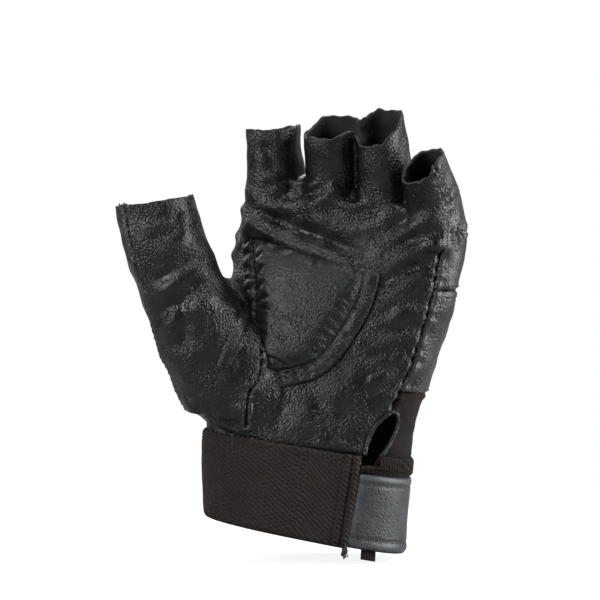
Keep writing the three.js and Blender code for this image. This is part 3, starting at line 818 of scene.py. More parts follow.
# folds of the leather: how deep and wide the valley is, the ridge beside it, and its line as seen
palmFolds = [
    # thumb
    (1.3, 2.6, 0.8, [(-63, 101), (-54, 106), (-45, 112), (-37, 115)]),
    (1.5, 2.8, 0.9, [(-62, 86), (-54, 92), (-46, 97), (-38, 106)]),
    (0.8, 2.6, 0.6, [(-64, 118), (-56, 121), (-47, 129)]),
    (0.5, 1.6, 0.4, [(-67, 128), (-58, 128), (-46, 131)]),
    (1.7, 3.4, 0.3, [(-48, 99), (-47.5, 88), (-48, 74)]),
    (0.9, 1.5, -0.7, [(-22, 95), (-28, 85), (-33, 75), (-36, 65)]),
    (0.6, 1.8, 0.4, [(-20, 84), (-26, 74), (-29, 66)]),
    (0.5, 1.2, 0.4, [(-39, 55), (-37, 49), (-34, 41)]),
    (0.7, 2.2, 0.4, [(-47, 60), (-42, 52), (-38, 42)]),
    (0.6, 2.4, 0.3, [(-32, 57), (-29, 49), (-28, 40)]),
    # below the patch
    (0.7, 1.5, 0.5, [(-19, 59), (-19, 50), (-15, 42)]),
    (0.5, 1.2, 0.4, [(-12, 43), (-8, 38)]),
    (0.6, 3.0, 0.4, [(2, 57), (10, 50), (20, 46)]),
    (0.5, 2.4, 0.3, [(6, 44), (16, 41), (24, 40)]),
    # across the palm below the fingers
    (2.2, 2.9, 2.8, [(-24, 134), (-13.5, 129), (0, 123), (11, 119), (22, 113.5), (31, 110)]),
    (1.0, 2.2, 1.0, [(-20, 138), (-8, 137.5), (4, 139), (14, 146)]),
    (0.6, 2.2, 0.5, [(-19, 141), (-9, 143), (0, 138)]),
    (1.0, 2.8, 0.8, [(2, 137), (12, 132), (22, 130), (33, 133)]),
    (0.7, 1.6, 0.6, [(-17, 150), (-11, 148), (-4, 144)]),
    (0.6, 1.5, 0.5, [(-9, 147), (0, 144.5), (9, 146)]),
    (0.6, 1.8, 0.4, [(-19, 160), (-14, 156), (-12, 148)]),
    # between the palm and the little-finger side
    (1.5, 2.6, 1.2, [(29, 98), (36, 104.5), (46, 109), (54, 108)]),
    (1.6, 2.8, 1.4, [(30, 112), (40, 118), (50, 122), (57, 124)]),
    (1.2, 2.4, 0.9, [(31, 122), (42, 128), (52, 134)]),
    (0.8, 2.4, 0.7, [(30, 90), (40, 94), (52, 95)]),
    (0.7, 2.2, 0.6, [(27, 83), (36, 83), (47, 86)]),
    (0.6, 2.0, 0.6, [(24, 74), (33, 74), (43, 78)]),
    (0.7, 2.2, 0.6, [(22, 62), (28, 67), (37, 71)]),
    (0.5, 1.3, 0.4, [(30, 58), (36, 61), (42, 65)]),
    (0.7, 1.8, 0.6, [(46, 141), (50, 146), (54, 150)]),
]
backFolds = [
    (0.7, 2.6, 0.6, [(-22, 118), (0, 116), (20, 117), (44, 114)]),
    (0.5, 2.2, 0.5, [(-18, 111), (4, 110), (26, 109)]),
    (0.6, 3.0, 0.5, [(-24, 92), (-8, 88), (12, 90)]),
    (0.5, 3.0, 0.5, [(0, 78), (16, 74), (34, 78)]),
    (0.8, 2.4, 0.6, [(-44, 96), (-50, 104), (-60, 108)]),
    (0.9, 2.6, 0.6, [(-36, 84), (-46, 88), (-56, 90)]),
    (0.6, 2.0, 0.5, [(-20, 142), (-11, 141), (-2, 143)]),
    (0.6, 2.0, 0.5, [(4, 141), (13, 139), (22, 140)]),
    (0.6, 2.0, 0.5, [(26, 139), (35, 136), (43, 136)]),
]


def foldDisplacement(verts, normal):
    move = np.zeros(len(verts))
    seamDistance = np.full(len(verts), 30.0)
    lines = [(-1, fold) for fold in palmFolds] + [(1, fold) for fold in backFolds]
    for side, (depth, width, ridge, points) in lines:
        index, run, off, length = nearLine(seen(points, side), verts, normal, width * 4)
        taper = smoothstep(0, 0.25, run / length) * smoothstep(1, 0.75, run / length)
        wander = 1 + 0.25 * np.sin(run / 2.3 + depth * 9)
        away = off * (1 if ridge > 0 else -1)
        valley = -depth * hump(away, 0, width) * wander
        crest = abs(ridge) * hump(away, 2.0 * width, 1.3 * width)
        move[index] += (valley + crest) * taper
    for seed, seam in enumerate(seamLines.values()):
        index, run, off, length = nearLine(seam["line"], verts, normal, 9)
        near = np.abs(off)
        gather = pucker(run, seam["wave"], seed) * seam["pucker"] * hump(near, 0, 3.2)
        groove = -seam["groove"] * hump(near, 0, 0.75)
        welt = 0.4 * hump(near, 1.7, 0.9)
        move[index] += groove + welt + gather
        seamDistance[index] = np.minimum(seamDistance[index], near)
    return move, seamDistance


def softWaves(verts, size, seed):  # gentle unevenness
    shift = Vector((seed * 7.3, seed * 3.1, seed * 5.7))
    return np.array([noise.noise(Vector(v) / size + shift) for v in verts.tolist()])


normal = normals(surface.verts, surface.tris)
move, seamDistance = foldDisplacement(surface.verts, normal)
move += 0.9 * softWaves(surface.verts * (1, 1, 1.4), 13, 1) + 0.35 * softWaves(surface.verts, 5, 2)
ofHand = surface.reads["hand"]
low = smoothstep(70, 60, surface.verts[:, 2])
tucked = smoothstep(38.5, 36, ofHand["height"]) * low  # under the cuff
drawnIn = np.clip((44.5 - ofHand["height"]) / 8, 0, 1) * low
move = move * (1 - tucked) - 1.2 * tucked - ofHand["outside"] * drawnIn
surface.rest = surface.verts.copy()
surface.verts = surface.verts + normal * move[:, None]
print("folds and gathers raised")


def thicken(verts, faces, thickness, normal=None):  # a closed wall whose outer face is the given open surface
    verts, faces = np.asarray(verts, float), [tuple(int(i) for i in f) for f in faces]
    if normal is None:
        tris = np.array([(f[0], f[k], f[k + 1]) for f in faces for k in range(1, len(f) - 1)])
        normal = normals(verts, tris)
    count = len(verts)
    every = np.concatenate([verts, verts - normal * np.asarray(thickness).reshape(-1, 1)])
    edges = {}
    for f in faces:
        for k in range(len(f)):
            a, b = f[k], f[(k + 1) % len(f)]
            if (b, a) in edges:
                del edges[(b, a)]
            else:
                edges[(a, b)] = True
    rim = [(b, a, a + count, b + count) for a, b in edges]
    inner = [tuple(i + count for i in reversed(f)) for f in faces]
    return every, faces + inner + rim, len(faces)


def setAttribute(obj, name, values):
    values = np.asarray(values, float)
    kind = "FLOAT" if values.ndim == 1 else "FLOAT_VECTOR"
    layer = obj.data.attributes.new(name, kind, "POINT")
    layer.data.foreach_set("value" if values.ndim == 1 else "vector", values.ravel())


def largeGroups(chosen):  # a panel's triangles without the small loose groups that the cut lines leave
    ids = np.flatnonzero(chosen)
    tris = surface.tris[ids]
    sides = np.sort(np.concatenate([tris[:, [0, 1]], tris[:, [1, 2]], tris[:, [2, 0]]]), axis=1)
    side = np.unique(sides, axis=0, return_inverse=True)[1].reshape(3, -1)
    group = np.arange(len(tris))
    while True:
        least = np.full(side.max() + 1, len(tris))
        for row in side:
            np.minimum.at(least, row, group)
        lower = least[side].min(axis=0)
        lower = lower[lower]
        if np.array_equal(lower, group):
            break
        group = lower
    large = np.bincount(group, minlength=len(tris))[group] >= smallestGroup
    out = np.zeros(len(surface.tris), bool)
    out[ids[large]] = True
    return out


def wallPiece(name, outer, faces, thickness, looks, values, normal=None):  # looks are outside and inside
    verts, faces, outside = thicken(outer, faces, thickness, normal)
    obj = newObject(name, verts, faces)
    for key, value in values.items():
        setAttribute(obj, key, np.concatenate([value, value]))
    for look in looks:
        obj.data.materials.append(look)
    if len(looks) > 1:
        inside = np.zeros(len(faces), int)
        inside[outside:] = 1
        obj.data.polygons.foreach_set("material_index", inside)
    return obj


def panelPiece(name, chosen, outer, thickness=wall["leather"], inner=fleshSide):  # a panel of the skin
    used, index = np.unique(surface.tris[largeGroups(chosen)], return_inverse=True)
    values = {"rest": surface.rest[used], "seamDistance": seamDistance[used]}
    return wallPiece(name, surface.verts[used], index.reshape(-1, 3), thickness, (outer, inner), values,
                     skinNormal[used])


smallestGroup = 120  # triangles; fewer than this is a loose bit
skinNormal = normals(surface.verts, surface.tris)
mean = {name: field(surface)[surface.tris].mean(axis=1) for name, field in fields.items()}
kept = (mean["rim"] > 0) & (mean["bottom"] > 0) & (mean["vent"] < 0)
strips = kept & (mean["fourchette"] > 0)
onThumb = kept & (mean["thumb"] > 0)
front = mean["front"] > 0
palmSide = kept & ~strips & ~onThumb & front
backSide = kept & ~strips & ~onThumb & ~front
aboveKnuckle, aboveFabric = mean["knuckle"] > 0, mean["fabric"] > 0

palmSkin = panelPiece("palm_leather_skin", palmSide, palmLeather)
upperBack = panelPiece("knuckle_leather_skin", backSide & aboveKnuckle, backLeather)
lowerBack = panelPiece("back_leather_skin", backSide & ~aboveKnuckle & aboveFabric, backLeather)
fabricBack = panelPiece("back_fabric_skin", backSide & ~aboveFabric, backWeave, wall["fabric"], backWeave)
thumbFront = panelPiece("thumb_front_skin", onThumb & front, palmLeather)
thumbBack = panelPiece("thumb_back_skin", onThumb & ~front, backLeather)
fourchettes = panelPiece("fourchette_skin", strips, palmLeather)
setAttribute(fabricBack, "lay", arrays(fabricBack)[0][:, [0, 2, 1]])
print("panels made")


def gridFaces(across, up):
    width = across + 1
    return [(j * width + i, j * width + i + 1, (j + 1) * width + i + 1, (j + 1) * width + i)
            for j in range(up) for i in range(across)]


def gridNormals(verts, faces):
    return normals(verts, np.array([f[:3] for f in faces] + [(f[0], f[2], f[3]) for f in faces]))


def gridPoints(place, across, up):  # place(s, t) is a piece's outer face, s across and t up
    return np.array([place(s, t) for t in np.linspace(0, 1, up + 1) for s in np.linspace(0, 1, across + 1)])


def gridPiece(name, place, across, up, thickness, look, shape=None):  # a wall over a grid
    rest = gridPoints(place, across, up)
    faces = gridFaces(across, up)
    run, rise = runOf(rest[:across + 1]), runOf(rest[::across + 1])
    lay = np.array([(u, v, 0) for v in rise for u in run])
    verts = rest
    if shape is not None:
        verts = rest + gridNormals(rest, faces) * shape(lay, run[-1], rise[-1], rest)[:, None]
    edge = np.minimum(np.minimum(lay[:, 0], run[-1] - lay[:, 0]), np.minimum(lay[:, 1], rise[-1] - lay[:, 1]))
    return wallPiece(name, verts, faces, thickness, (look,), {"rest": rest, "lay": lay, "seamDistance": edge})


cuff = {"top": 36.6, "bottom": -0.4, "backEnd": 74, "strapEnd": 299, "slant": 7, "rise": 0.9, "wall": 1.8,
        "pitch": 1.9}


def cuffPlace(s, t):
    end = cuff["strapEnd"] - cuff["slant"] * (1 - t)
    return handPoint(mix(cuff["backEnd"], end, s), mix(cuff["bottom"], cuff["top"], t))


def cuffShape(lay, width, height, verts):
    u, v = lay[:, 0], lay[:, 1]
    waves = 0.7 * softWaves(verts * (1, 1, 0.5), 16, 5) + 0.3 * softWaves(verts, 6, 6)
    rolled = -0.8 * hump(np.minimum(v, height - v), 0, 0.8)
    stitched = -0.35 * hump(height - v, 3.0, 0.5) - 0.25 * hump(height - v, 4.6, 0.5)
    inward = width - u
    seam = 0.9 * hump(inward, 1.5, 0.9) - 0.7 * hump(inward, 3.2, 0.5)
    seam += 0.7 * hump(inward, 5.0, 1.0) - 0.5 * hump(inward, 7.0, 0.6)
    seam += 0.35 * np.sin(v * 2 * math.pi / 1.9 + 2 * softWaves(verts, 5, 12)) * hump(inward, 3.5, 2.8)
    return cuff["rise"] + waves + rolled + stitched + seam


cuffBand = gridPiece("cuff_band_knit", cuffPlace, 260, 44, cuff["wall"], cuffKnit, cuffShape)

hem = {"bottom": 26.5, "top": 37.4, "from": -47, "under": 17, "to": 73.5, "strapEdge": 30, "wall": 1.7}


def hemPlace(s, t):  # below the vent it runs on under the band's end
    start = hem["from"] - hem["under"] * float(smoothstep(0.6, 0.42, t))
    return handPoint(mix(start, hem["to"], s), mix(hem["bottom"], hem["top"], t))


def hemShape(lay, width, height, verts):
    u, v = lay[:, 0], lay[:, 1]
    shown = smoothstep(hem["strapEdge"] - 0.8, hem["strapEdge"] + 1.6, hem["bottom"] + v)
    gather = 0.25 * np.sin(u * 2 * math.pi / 2.0 + 1.5 * softWaves(verts, 8, 3)) * shown
    rolled = 0.9 * hump(np.minimum(v, height - v), 0, 0.8)
    return -1.1 + 2.0 * shown + gather - rolled + 0.4 * softWaves(verts, 9, 8) * shown


backHem = gridPiece("back_hem_knit", hemPlace, 150, 9, hem["wall"], hemKnit, hemShape)

strap = {"top": 30.3, "bottom": 0.3, "end": 120, "corner": 9, "cut": 7, "standOff": 4.75, "from": 5,
         "clear": 68, "wall": 1.3, "pitch": 2.6}


def raised(angle, height, distance):
    a = handPoint(angle + 0.5, height) - handPoint(angle - 0.5, height)
    b = handPoint(angle, height + 0.5) - handPoint(angle, height - 0.5)
    out = np.cross(a, b)
    return handPoint(angle, height) + out / np.linalg.norm(out) * distance


def strapPlace(s, t):
    root = cuff["strapEnd"] - 360 - cuff["slant"] * (1 - t) - 0.6
    angle = mix(root, strap["end"], s)
    share = np.clip((angle - (strap["end"] - strap["corner"])) / strap["corner"], 0, 1)
    narrow = strap["cut"] * (1 - math.sqrt(1 - share * share * 0.96))
    standOff = float(smoothstep(strap["from"], strap["clear"], angle)) * strap["standOff"]
    return raised(angle, mix(strap["bottom"] + narrow, strap["top"] - narrow, t), standOff)


def strapShape(lay, width, height, verts):
    u, v = lay[:, 0], lay[:, 1]
    fold = np.minimum(v, height - v)
    rolled = -0.9 * hump(np.maximum(np.minimum(fold, width - u), 0), 0, 0.7)
    groove = -0.55 * hump(fold, 4.0, 0.4) + 0.25 * hump(fold, 2.2, 1.4)
    fine = 0.26 * softWaves(verts * (0.35, 0.35, 1), 1.7, 4) * np.exp(-u / 12)
    return 0.6 + rolled + groove * smoothstep(0, 2, width - u) + fine + 0.35 * softWaves(verts, 14, 7)


strapPiece = gridPiece("strap_leather_skin", strapPlace, 220, 36, strap["wall"], strapLeather, strapShape)
print("cuff, hem and strap made")


tapes = {
    "loop": {"from": 78, "to": 146, "bottom": 3, "top": 31, "lift": 2.6, "wall": 1.1},
    "hook": {"from": 80, "to": 116, "bottom": 4.5, "top": 25, "lift": 4.0, "wall": 1.1},
    "label": {"from": -57, "to": -45, "bottom": -3.6, "top": 5.5, "lift": -1.6, "wall": 0.9},
}


def tapePiece(name, row, across, up, look):
    def place(s, t):
        return raised(mix(row["from"], row["to"], s), mix(row["bottom"], row["top"], t), row["lift"])

    return gridPiece(name, place, across, up, row["wall"], look)


loopPad = tapePiece("loop_tape_pad", tapes["loop"], 60, 24, loopTape)
hookPad = tapePiece("hook_tape_pad", tapes["hook"], 40, 20, hookTape)
strapLabel = tapePiece("strap_label_tape", tapes["label"], 12, 12, hemKnit)

patch = {
    "left": [(0, 252), (0.09, 241), (0.27, 233), (0.6, 224), (1, 208)],
    "right": [(0, 257), (0.09, 271), (0.3, 281), (0.66, 289), (1, 291)],
    "foot": 58,
    "topLeft": 126,
    "topRight": 111,
    "tall": 60,  # about, for turning shares into millimetres
    "border": 6.5,
    "foam": 2.6,
    "lift": 0.5,
    "wall": 1.2,
    "pitch": 2.6,
    "across": 64,
    "up": 78,
}
patchSides = [smoothLine([(patch["tall"] * t, a) for t, a in patch[side]], 1) / (patch["tall"], 1)
              for side in ("left", "right")]


def patchPlace(s, t):
    angle = mix(lookUp(patchSides[0], t), lookUp(patchSides[1], t), s)
    first, last = patch["left"][-1][1], patch["right"][-1][1]
    top = patch["topLeft"] + (patch["topRight"] - patch["topLeft"]) * (angle - first) / (last - first)
    return handPoint(angle, mix(patch["foot"], top, t))


# the patch is sewn down its two sides and round its foot, and its top is tucked under the palm's fold
rising = [k / 60 for k in range(61)]
corners = [(0, 1 - t) for t in rising] + [(k / 10, 0) for k in range(1, 10)] + [(1, t) for t in rising]
patchEdge = evenly([patchPlace(s, t) for s, t in corners])


def patchRise(verts, below, soft):  # how far the patch stands off the hand, and how far in from its sides
    run, edge = nearestOn(patchEdge, verts)
    inward = np.maximum(edge - patch["border"], 0)
    foam = patch["foam"] * (1 - np.exp(-inward / 3.2)) + 0.7 * (1 - np.exp(-inward / 14))
    foam = foam * smoothstep(-3, 14, below)
    tucked = 2.7 * smoothstep(4.5, 0, below)
    groove = -0.6 * hump(edge, patch["border"], 0.9)
    gathers = 0.3 * pucker(run, 7.5, 2) * hump(edge, 3.2, 2.2)
    rolled = -0.7 * hump(edge, 0, 0.6)
    waves = 0.5 * softWaves(verts * (1, 1, 1.2), 17, 9) + 0.3 * softWaves(verts, 6, 10)
    return patch["lift"] + 1.0 + foam + groove + rolled - tucked + (gathers + waves) * soft, edge


# the patch's leather is a little larger than the border that it is sewn to, and its wadding pushes it out
puff = {"scale": 20, "frames": 22, "quality": 7, "pressure": 5, "growth": 0.075, "mass": 0.3, "tension": 12,
        "bending": 0.6, "cap": 1.7, "pinned": 0.5, "sewnEdge": 1.2, "sewnTop": 3}


def puffUp(verts, faces, edge, below):  # simulated larger, where cloth solves well, and brought back to size
    obj = newObject("patch_cloth", verts * puff["scale"], faces)
    pins = obj.vertex_groups.new(name="pins")
    sewn = (edge < puff["sewnEdge"]) | (np.abs(edge - patch["border"]) < puff["pinned"])
    sewn = sewn | (below < puff["sewnTop"])
    pins.add([int(i) for i in np.nonzero(sewn)[0]], 1.0, "REPLACE")
    modifier = obj.modifiers.new("cloth", "CLOTH")
    cloth = modifier.settings
    cloth.quality = puff["quality"]
    cloth.mass = puff["mass"]
    cloth.tension_stiffness = cloth.compression_stiffness = puff["tension"]
    cloth.shear_stiffness = puff["tension"] / 2
    cloth.bending_stiffness = puff["bending"]
    cloth.shrink_min = -puff["growth"]
    cloth.use_pressure = True
    cloth.uniform_pressure_force = puff["pressure"]
    cloth.vertex_group_mass = "pins"
    cloth.effector_weights.gravity = 0
    modifier.collision_settings.use_collision = False
    modifier.point_cache.frame_end = puff["frames"]
    scene = bpy.context.scene
    for frameNumber in range(1, puff["frames"] + 1):
        scene.frame_set(frameNumber)
    applyModifiers(obj)
    moved = arrays(obj)[0] / puff["scale"]
    bpy.data.objects.remove(obj)
    scene.frame_set(1)
    shift = moved - verts
    size = np.linalg.norm(shift, axis=1, keepdims=True)
    return verts + shift * np.minimum(1, puff["cap"] / np.maximum(size, 1e-9))


def makePatch():
    across, up = patch["across"], patch["up"]
    flat = gridPoints(patchPlace, across, up)
    faces = gridFaces(across, up)
    below = np.repeat([(1 - j / up) * patch["tall"] for j in range(up + 1)], across + 1)
    rise, edge = patchRise(flat, below, 0.35)
    verts = flat + gridNormals(flat, faces) * rise[:, None]
    verts = puffUp(verts, faces, edge, below)
    values = {"rest": flat, "seamDistance": np.minimum(edge, np.abs(edge - patch["border"]))}
    obj = wallPiece("palm_patch_skin", verts, faces, patch["wall"], (patchLeather,), values)
    finer = obj.modifiers.new("finer", "SUBSURF")
    finer.levels = finer.render_levels = 1
    applyModifiers(obj)
    return obj


palmPatch = makePatch()
print("patch and tapes made")


def beside(line, offset, tree):  # a line on the surface, moved sideways
    out = []
    for p, t in zip(line, np.gradient(line, axis=0)):
        across = np.cross(np.array(tree.find_nearest(Vector(p))[1]), t)
        out.append(p + across / max(np.linalg.norm(across), 1e-9) * offset)
    return np.array(out)


def addRing(verts, centre, side, other, size, count):  # a ring of points round a centre
    for k in range(count):
        angle = 2 * math.pi * k / count
        verts.append(centre + (side * math.cos(angle) + other * math.sin(angle)) * size)


def threadPiece(name, verts, faces, look):
    obj = newObject(name, verts, faces)
    setAttribute(obj, "rest", np.array(verts))
    obj.data.materials.append(look)
    return obj


stitch = {"length": 1.7, "pitch": 2.7, "thick": 0.22, "rings": 5, "sides": 6, "sink": 0.05, "step": 0.4}


def stitchPiece(name, runs, look):  # short rounded threads laid along lines; runs are (line, surface, pitch)
    verts, faces = [], []
    thick, step = stitch["thick"], stitch["step"]
    for line, tree, pitch in runs:
        dense = evenly(line, step)
        length = stitch["length"] * pitch / stitch["pitch"]
        for start in np.arange(0.5, len(dense) * step - length, pitch):
            a, b = dense[int(start / step)], dense[min(int((start + length) / step), len(dense) - 1)]
            hit = tree.find_nearest(Vector((a + b) / 2))
            if hit[0] is None:
                continue
            up, middle = np.array(hit[1]), np.array(hit[0])
            way = (b - a) - up * np.dot(b - a, up)
            way = way / max(np.linalg.norm(way), 1e-9)
            faces += tubeFaces(stitch["rings"], stitch["sides"], len(verts))
            for share in np.linspace(-1, 1, stitch["rings"]):
                bulge = math.sqrt(max(1 - share * share * 0.9, 0.05))
                centre = middle + way * share * length / 2 + up * (thick * 0.7 * bulge - stitch["sink"])
                addRing(verts, centre, np.cross(up, way), up, thick * bulge, stitch["sides"])
    return threadPiece(name, verts, faces, look)


def treeOf(obj):  # the surface of a piece, for laying things on it
    verts, tris = arrays(obj)
    return BVHTree.FromPolygons(verts.tolist(), tris.tolist())


skinTree = BVHTree.FromPolygons(surface.verts.tolist(), surface.tris[kept].tolist())


def onSkin(name, offset, pitch=stitch["pitch"]):
    return beside(seamLines[name]["line"], offset, restTree), skinTree, pitch


thumbRuns = [("thumbOuter", 1.5), ("thumbOuter", -1.4)]  # seam, how far beside it, pitch
palmRuns = [("thumbPalm", 1.6), ("thumbPalm", -1.6), ("side", 1.7), ("little", 1.5), ("little", -1.5),
            ("indexOuter", 1.4), ("thumbSide", 1.5), ("thumbLow", 1.4), ("knuckle", 1.6), ("knuckle", -2.6),
            ("knuckle", -4.4), ("shirr", 1.3, 2.0), ("shirr", -1.3, 2.0), ("fabric", 1.6), ("fabric", 3.4)]
thumbStitches = stitchPiece("thumb_stitches", [onSkin(*row) for row in thumbRuns], blackThreadPaintedLit)
palmStitches = stitchPiece("palm_stitches", [onSkin(*row) for row in palmRuns], blackThreadPaintedLit)
cuffTree, strapTree, patchTree = treeOf(cuffBand), treeOf(strapPiece), treeOf(palmPatch)
cuffLines = [[cuffPlace(s, 1 - below / 37) for s in np.linspace(0.01, 0.985, 200)] for below in (2.4, 3.9)]
cuffLines += [[cuffPlace(1 - inward, t) for t in np.linspace(0.02, 0.98, 50)] for inward in (0.012, 0.030)]
cuffRuns = [(np.array(line), cuffTree, cuff["pitch"]) for line in cuffLines]
cuffStitches = stitchPiece("cuff_stitches", cuffRuns, darkThread)
strapLines = [[strapPlace(s, t) for s in np.linspace(0.01, 0.975, 200)] for t in (0.14, 0.86)]
strapLines.append([strapPlace(0.972, t) for t in np.linspace(0.16, 0.84, 30)])
strapRuns = [(np.array(line), strapTree, strap["pitch"]) for line in strapLines]
strapStitches = stitchPiece("strap_stitches", strapRuns, blackThread)


def patchRing(inset):  # a line round the patch, this far inside its edge
    ways = [patchEdge.mean(axis=0) - p for p in patchEdge]
    return evenly(np.array([p + way / np.linalg.norm(way) * inset for p, way in zip(patchEdge, ways)]))


patchRuns = [(patchRing(inset), patchTree, patch["pitch"]) for inset in (1.7, patch["border"])]
patchStitches = stitchPiece("patch_stitches", patchRuns, blackThreadPaintedLit)
print("stitches laid")


def cord(line, thick, sides=10, taper=None):  # a round cord along a line of points
    line = np.asarray(line, float)
    tangent = np.gradient(line, axis=0)
    tangent /= np.linalg.norm(tangent, axis=1, keepdims=True)
    side = np.cross(tangent[0], (0.3, 0.2, 1))
    verts = []
    for i, (p, t) in enumerate(zip(line, tangent)):
        side = side - t * np.dot(side, t)
        side /= np.linalg.norm(side)
        addRing(verts, p, side, np.cross(t, side), thick * (taper[i] if taper is not None else 1), sides)
    return verts, tubeFaces(len(line), sides)


def cordPiece(name, cords, look):  # one piece made of several cords
    verts, faces = [], []
    for cordVerts, cordFaces in cords:
        faces += [[len(verts) + k for k in f] for f in cordFaces]
        verts += cordVerts
    return threadPiece(name, verts, faces, look)


def ventEdge():  # up the palm's side of the vent, round its top and down the fabric's side
    heights = [37, 40, 43, 46, 49, 51.3]
    left = [(float(ventSides(h)[0]), h) for h in heights]
    right = [(float(ventSides(h)[1]), h) for h in heights[::-1]]
    line = onHand(left + [(318.6, 53), (322.8, 53.9), (326.4, 52.9)] + right)
    return np.array([np.array(restTree.find_nearest(Vector(p))[0]) for p in line])


ventPiping = cordPiece("vent_piping", [cord(ventEdge(), vent["piping"])], palmLeather)

tail = {"strands": 14, "length": 4.6, "thick": 0.24}


def threadTail():  # the knot and loose thread ends at the foot of the cuff's seam
    foot = raised(cuff["strapEnd"] - cuff["slant"] - 1.5, 0.2, 0.6)
    knot = [foot + np.array((0.3 * math.sin(k), -0.2 * math.cos(k), 0.8 - 0.5 * k))
            for k in np.arange(0, 6, 0.5)]
    out = [cord(knot, 0.9, 8, [0.5, 0.8, 1, 1.1, 1.2, 1.1, 1.2, 1.1, 1, 0.9, 0.8, 0.5])]
    for i in range(tail["strands"]):
        turn = i * 2.4
        spread = np.array((math.cos(turn), 0.6 * math.sin(turn), 0)) * (0.5 + 0.35 * (i % 4))
        reach = tail["length"] * (0.5 + 0.13 * (i % 5))
        curl = 0.5 + 0.15 * (i % 3)
        line = []
        for t in np.linspace(0, 1, 11):
            sway = (curl * math.sin(5 * t + i), curl * math.cos(4 * t + i), -reach * t)
            line.append(foot + spread * t + np.array(sway))
        out.append(cord(line, tail["thick"], 6))
    return cordPiece("seam_tail_thread", out, blackThread)


seamTail = threadTail()


for piece in (lowerBack, fabricBack, cuffBand, cuffStitches, ventPiping, seamTail, backHem, loopPad):
    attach(piece, "palm")
for piece in (strapPiece, strapStitches, hookPad, strapLabel):
    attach(piece, "strap")
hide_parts("palm_leather", "index_front", "middle_front", "ring_front", "little_front")
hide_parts("vent_binding")
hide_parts("seam_tail")
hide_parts("knuckle_panel", "index_back", "middle_back", "ring_back", "little_back")
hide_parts("fourchette_index_middle", "fourchette_middle_ring", "fourchette_ring_little")
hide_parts("back_leather")
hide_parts("back_fabric")
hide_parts("thenar_front", "thumb_front")
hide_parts("thenar_back", "thumb_back")
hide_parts("cuff_band")
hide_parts("back_hem")
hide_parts("loop_pad")
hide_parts("hook_pad")
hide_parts("strap_leather")
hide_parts("strap_label")
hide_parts("palm_patch", "palm_pad")
slots = {
    "palm_leather": (palmSkin, thumbFront, fourchettes, palmPatch, ventPiping),
    "back_leather": (upperBack, lowerBack, thumbBack),
    "back_fabric": (fabricBack,),
    "elastic_knit": (cuffBand, backHem, seamTail, palmStitches, thumbStitches, patchStitches, cuffStitches,
                     strapStitches),
    "strap_leather": (strapPiece,),
    "tape": (loopPad, hookPad),
    "label": (strapLabel,),
}
for name, pieces in slots.items():
    for piece in pieces:
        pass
for piece in (palmSkin, upperBack, fourchettes, palmPatch, palmStitches, patchStitches):
    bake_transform(piece)
for piece in (thumbFront, thumbBack, thumbStitches):
    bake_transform(piece)


# the light, the floor and the camera
studio = {
    "camera": (-0.0012, -1.0, 0.0954),
    "lens": 146.3,
    "world": 0.045,
    "paper": 0.32,
    "near": 0.14,
    "far": 0.34,
    "floorGlow": 0.86,
    "wallGlow": 0.97,
    "lamps": [
        {"at": (-0.85, -0.65, 0.50), "size": 0.62, "power": 9.8},
        {"at": (0.92, -0.12, 0.24), "size": 0.80, "power": 17.0},
        {"at": (0.1, -0.15, 1.1), "size": 0.5, "power": 6.4},
        {"at": (0.35, 0.75, 0.95), "size": 0.6, "power": 7.4},
        {"at": (-0.7, 0.6, 0.75), "size": 0.6, "power": 5.0},
    ],
}


def emptyNodes(owned):
    owned.use_nodes = True
    owned.node_tree.nodes.clear()
    return Shade(owned.node_tree)


def placed(name, data, at):
    obj = bpy.data.objects.new(name, data)
    obj.location = at
    bpy.context.collection.objects.link(obj)
    return obj


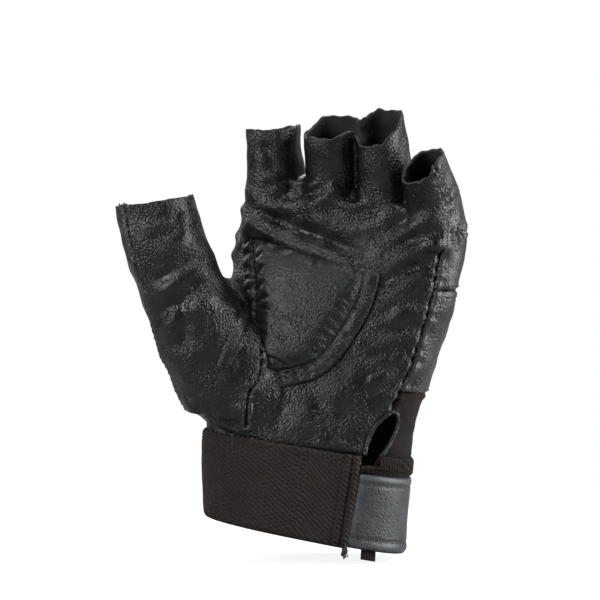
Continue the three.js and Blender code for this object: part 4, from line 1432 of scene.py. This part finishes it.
def sheetOf(name, verts, glow):  # paper to the lamps, and lit of itself to the camera; far off plain white
    mesh = bpy.data.meshes.new(name)
    mesh.from_pydata(verts, [], [(0, 1, 2, 3)])
    material = bpy.data.materials.new(name)
    lines = emptyNodes(material)
    direct = lines.node("LightPath", None, None, "Is Camera Ray")
    spot = lines.node("NewGeometry", None, None, "Position")
    away = lines.node("VectorMath", {"operation": "LENGTH"}, {0: spot}, "Value")
    away = away.between(studio["near"], studio["far"])
    paper = lines.node("BsdfDiffuse", None, {"Color": (*[studio["paper"]] * 3, 1)})
    light = lines.node("Emission", None, {"Color": (1, 1, 1, 1), "Strength": glow})
    white = lines.node("Emission", None, {"Color": (1, 1, 1, 1), "Strength": 1.0})
    lit = lines.node("AddShader", None, {0: paper, 1: light})
    shown = lines.node("MixShader", None, {0: away, 1: lit, 2: white})
    both = lines.node("MixShader", None, {0: direct, 1: paper, 2: shown})
    lines.node("OutputMaterial", None, {"Surface": both}, None)
    mesh.materials.append(material)
    placed(name, mesh, (0, 0, 0))


def makeStudio():
    world = bpy.data.worlds.new("studio")
    bpy.context.scene.world = world
    lines = emptyNodes(world)
    direct = lines.node("LightPath", None, None, "Is Camera Ray")
    white = lines.node("Background", None, {"Color": (1, 1, 1, 1), "Strength": 1.0})
    soft = lines.node("Background", None, {"Color": (1, 1, 1, 1), "Strength": studio["world"]})
    both = lines.node("MixShader", None, {0: direct, 1: soft, 2: white})
    lines.node("OutputWorld", None, {"Surface": both}, None)
    for i, row in enumerate(studio["lamps"]):
        lamp = bpy.data.lights.new("lamp" + str(i), "AREA")
        lamp.energy = row["power"]
        lamp.size = row["size"]
        obj = placed("lamp" + str(i), lamp, row["at"])
        obj.rotation_euler = (Vector((0, 0, 0.08)) - Vector(row["at"])).to_track_quat("-Z", "Y").to_euler()
    half, back, low, high = 2.0, 1.1, cadBox[0][2] - 0.001, 2.5
    sheetOf("floor", [(-half, -half, low), (half, -half, low), (half, back, low), (-half, back, low)],
            studio["floorGlow"])
    sheetOf("backdrop", [(-half, back, low), (half, back, low), (half, back, high), (-half, back, high)],
            studio["wallGlow"])
    camera = bpy.data.cameras.new("camera")
    camera.lens = studio["lens"]
    camera.sensor_width = 36
    camera.clip_end = 20
    obj = placed("camera", camera, studio["camera"])
    obj.rotation_euler = (math.pi / 2, 0, 0)
    bpy.context.scene.camera = obj
    bpy.context.scene.view_settings.view_transform = "Standard"


makeStudio()
print("studio set")
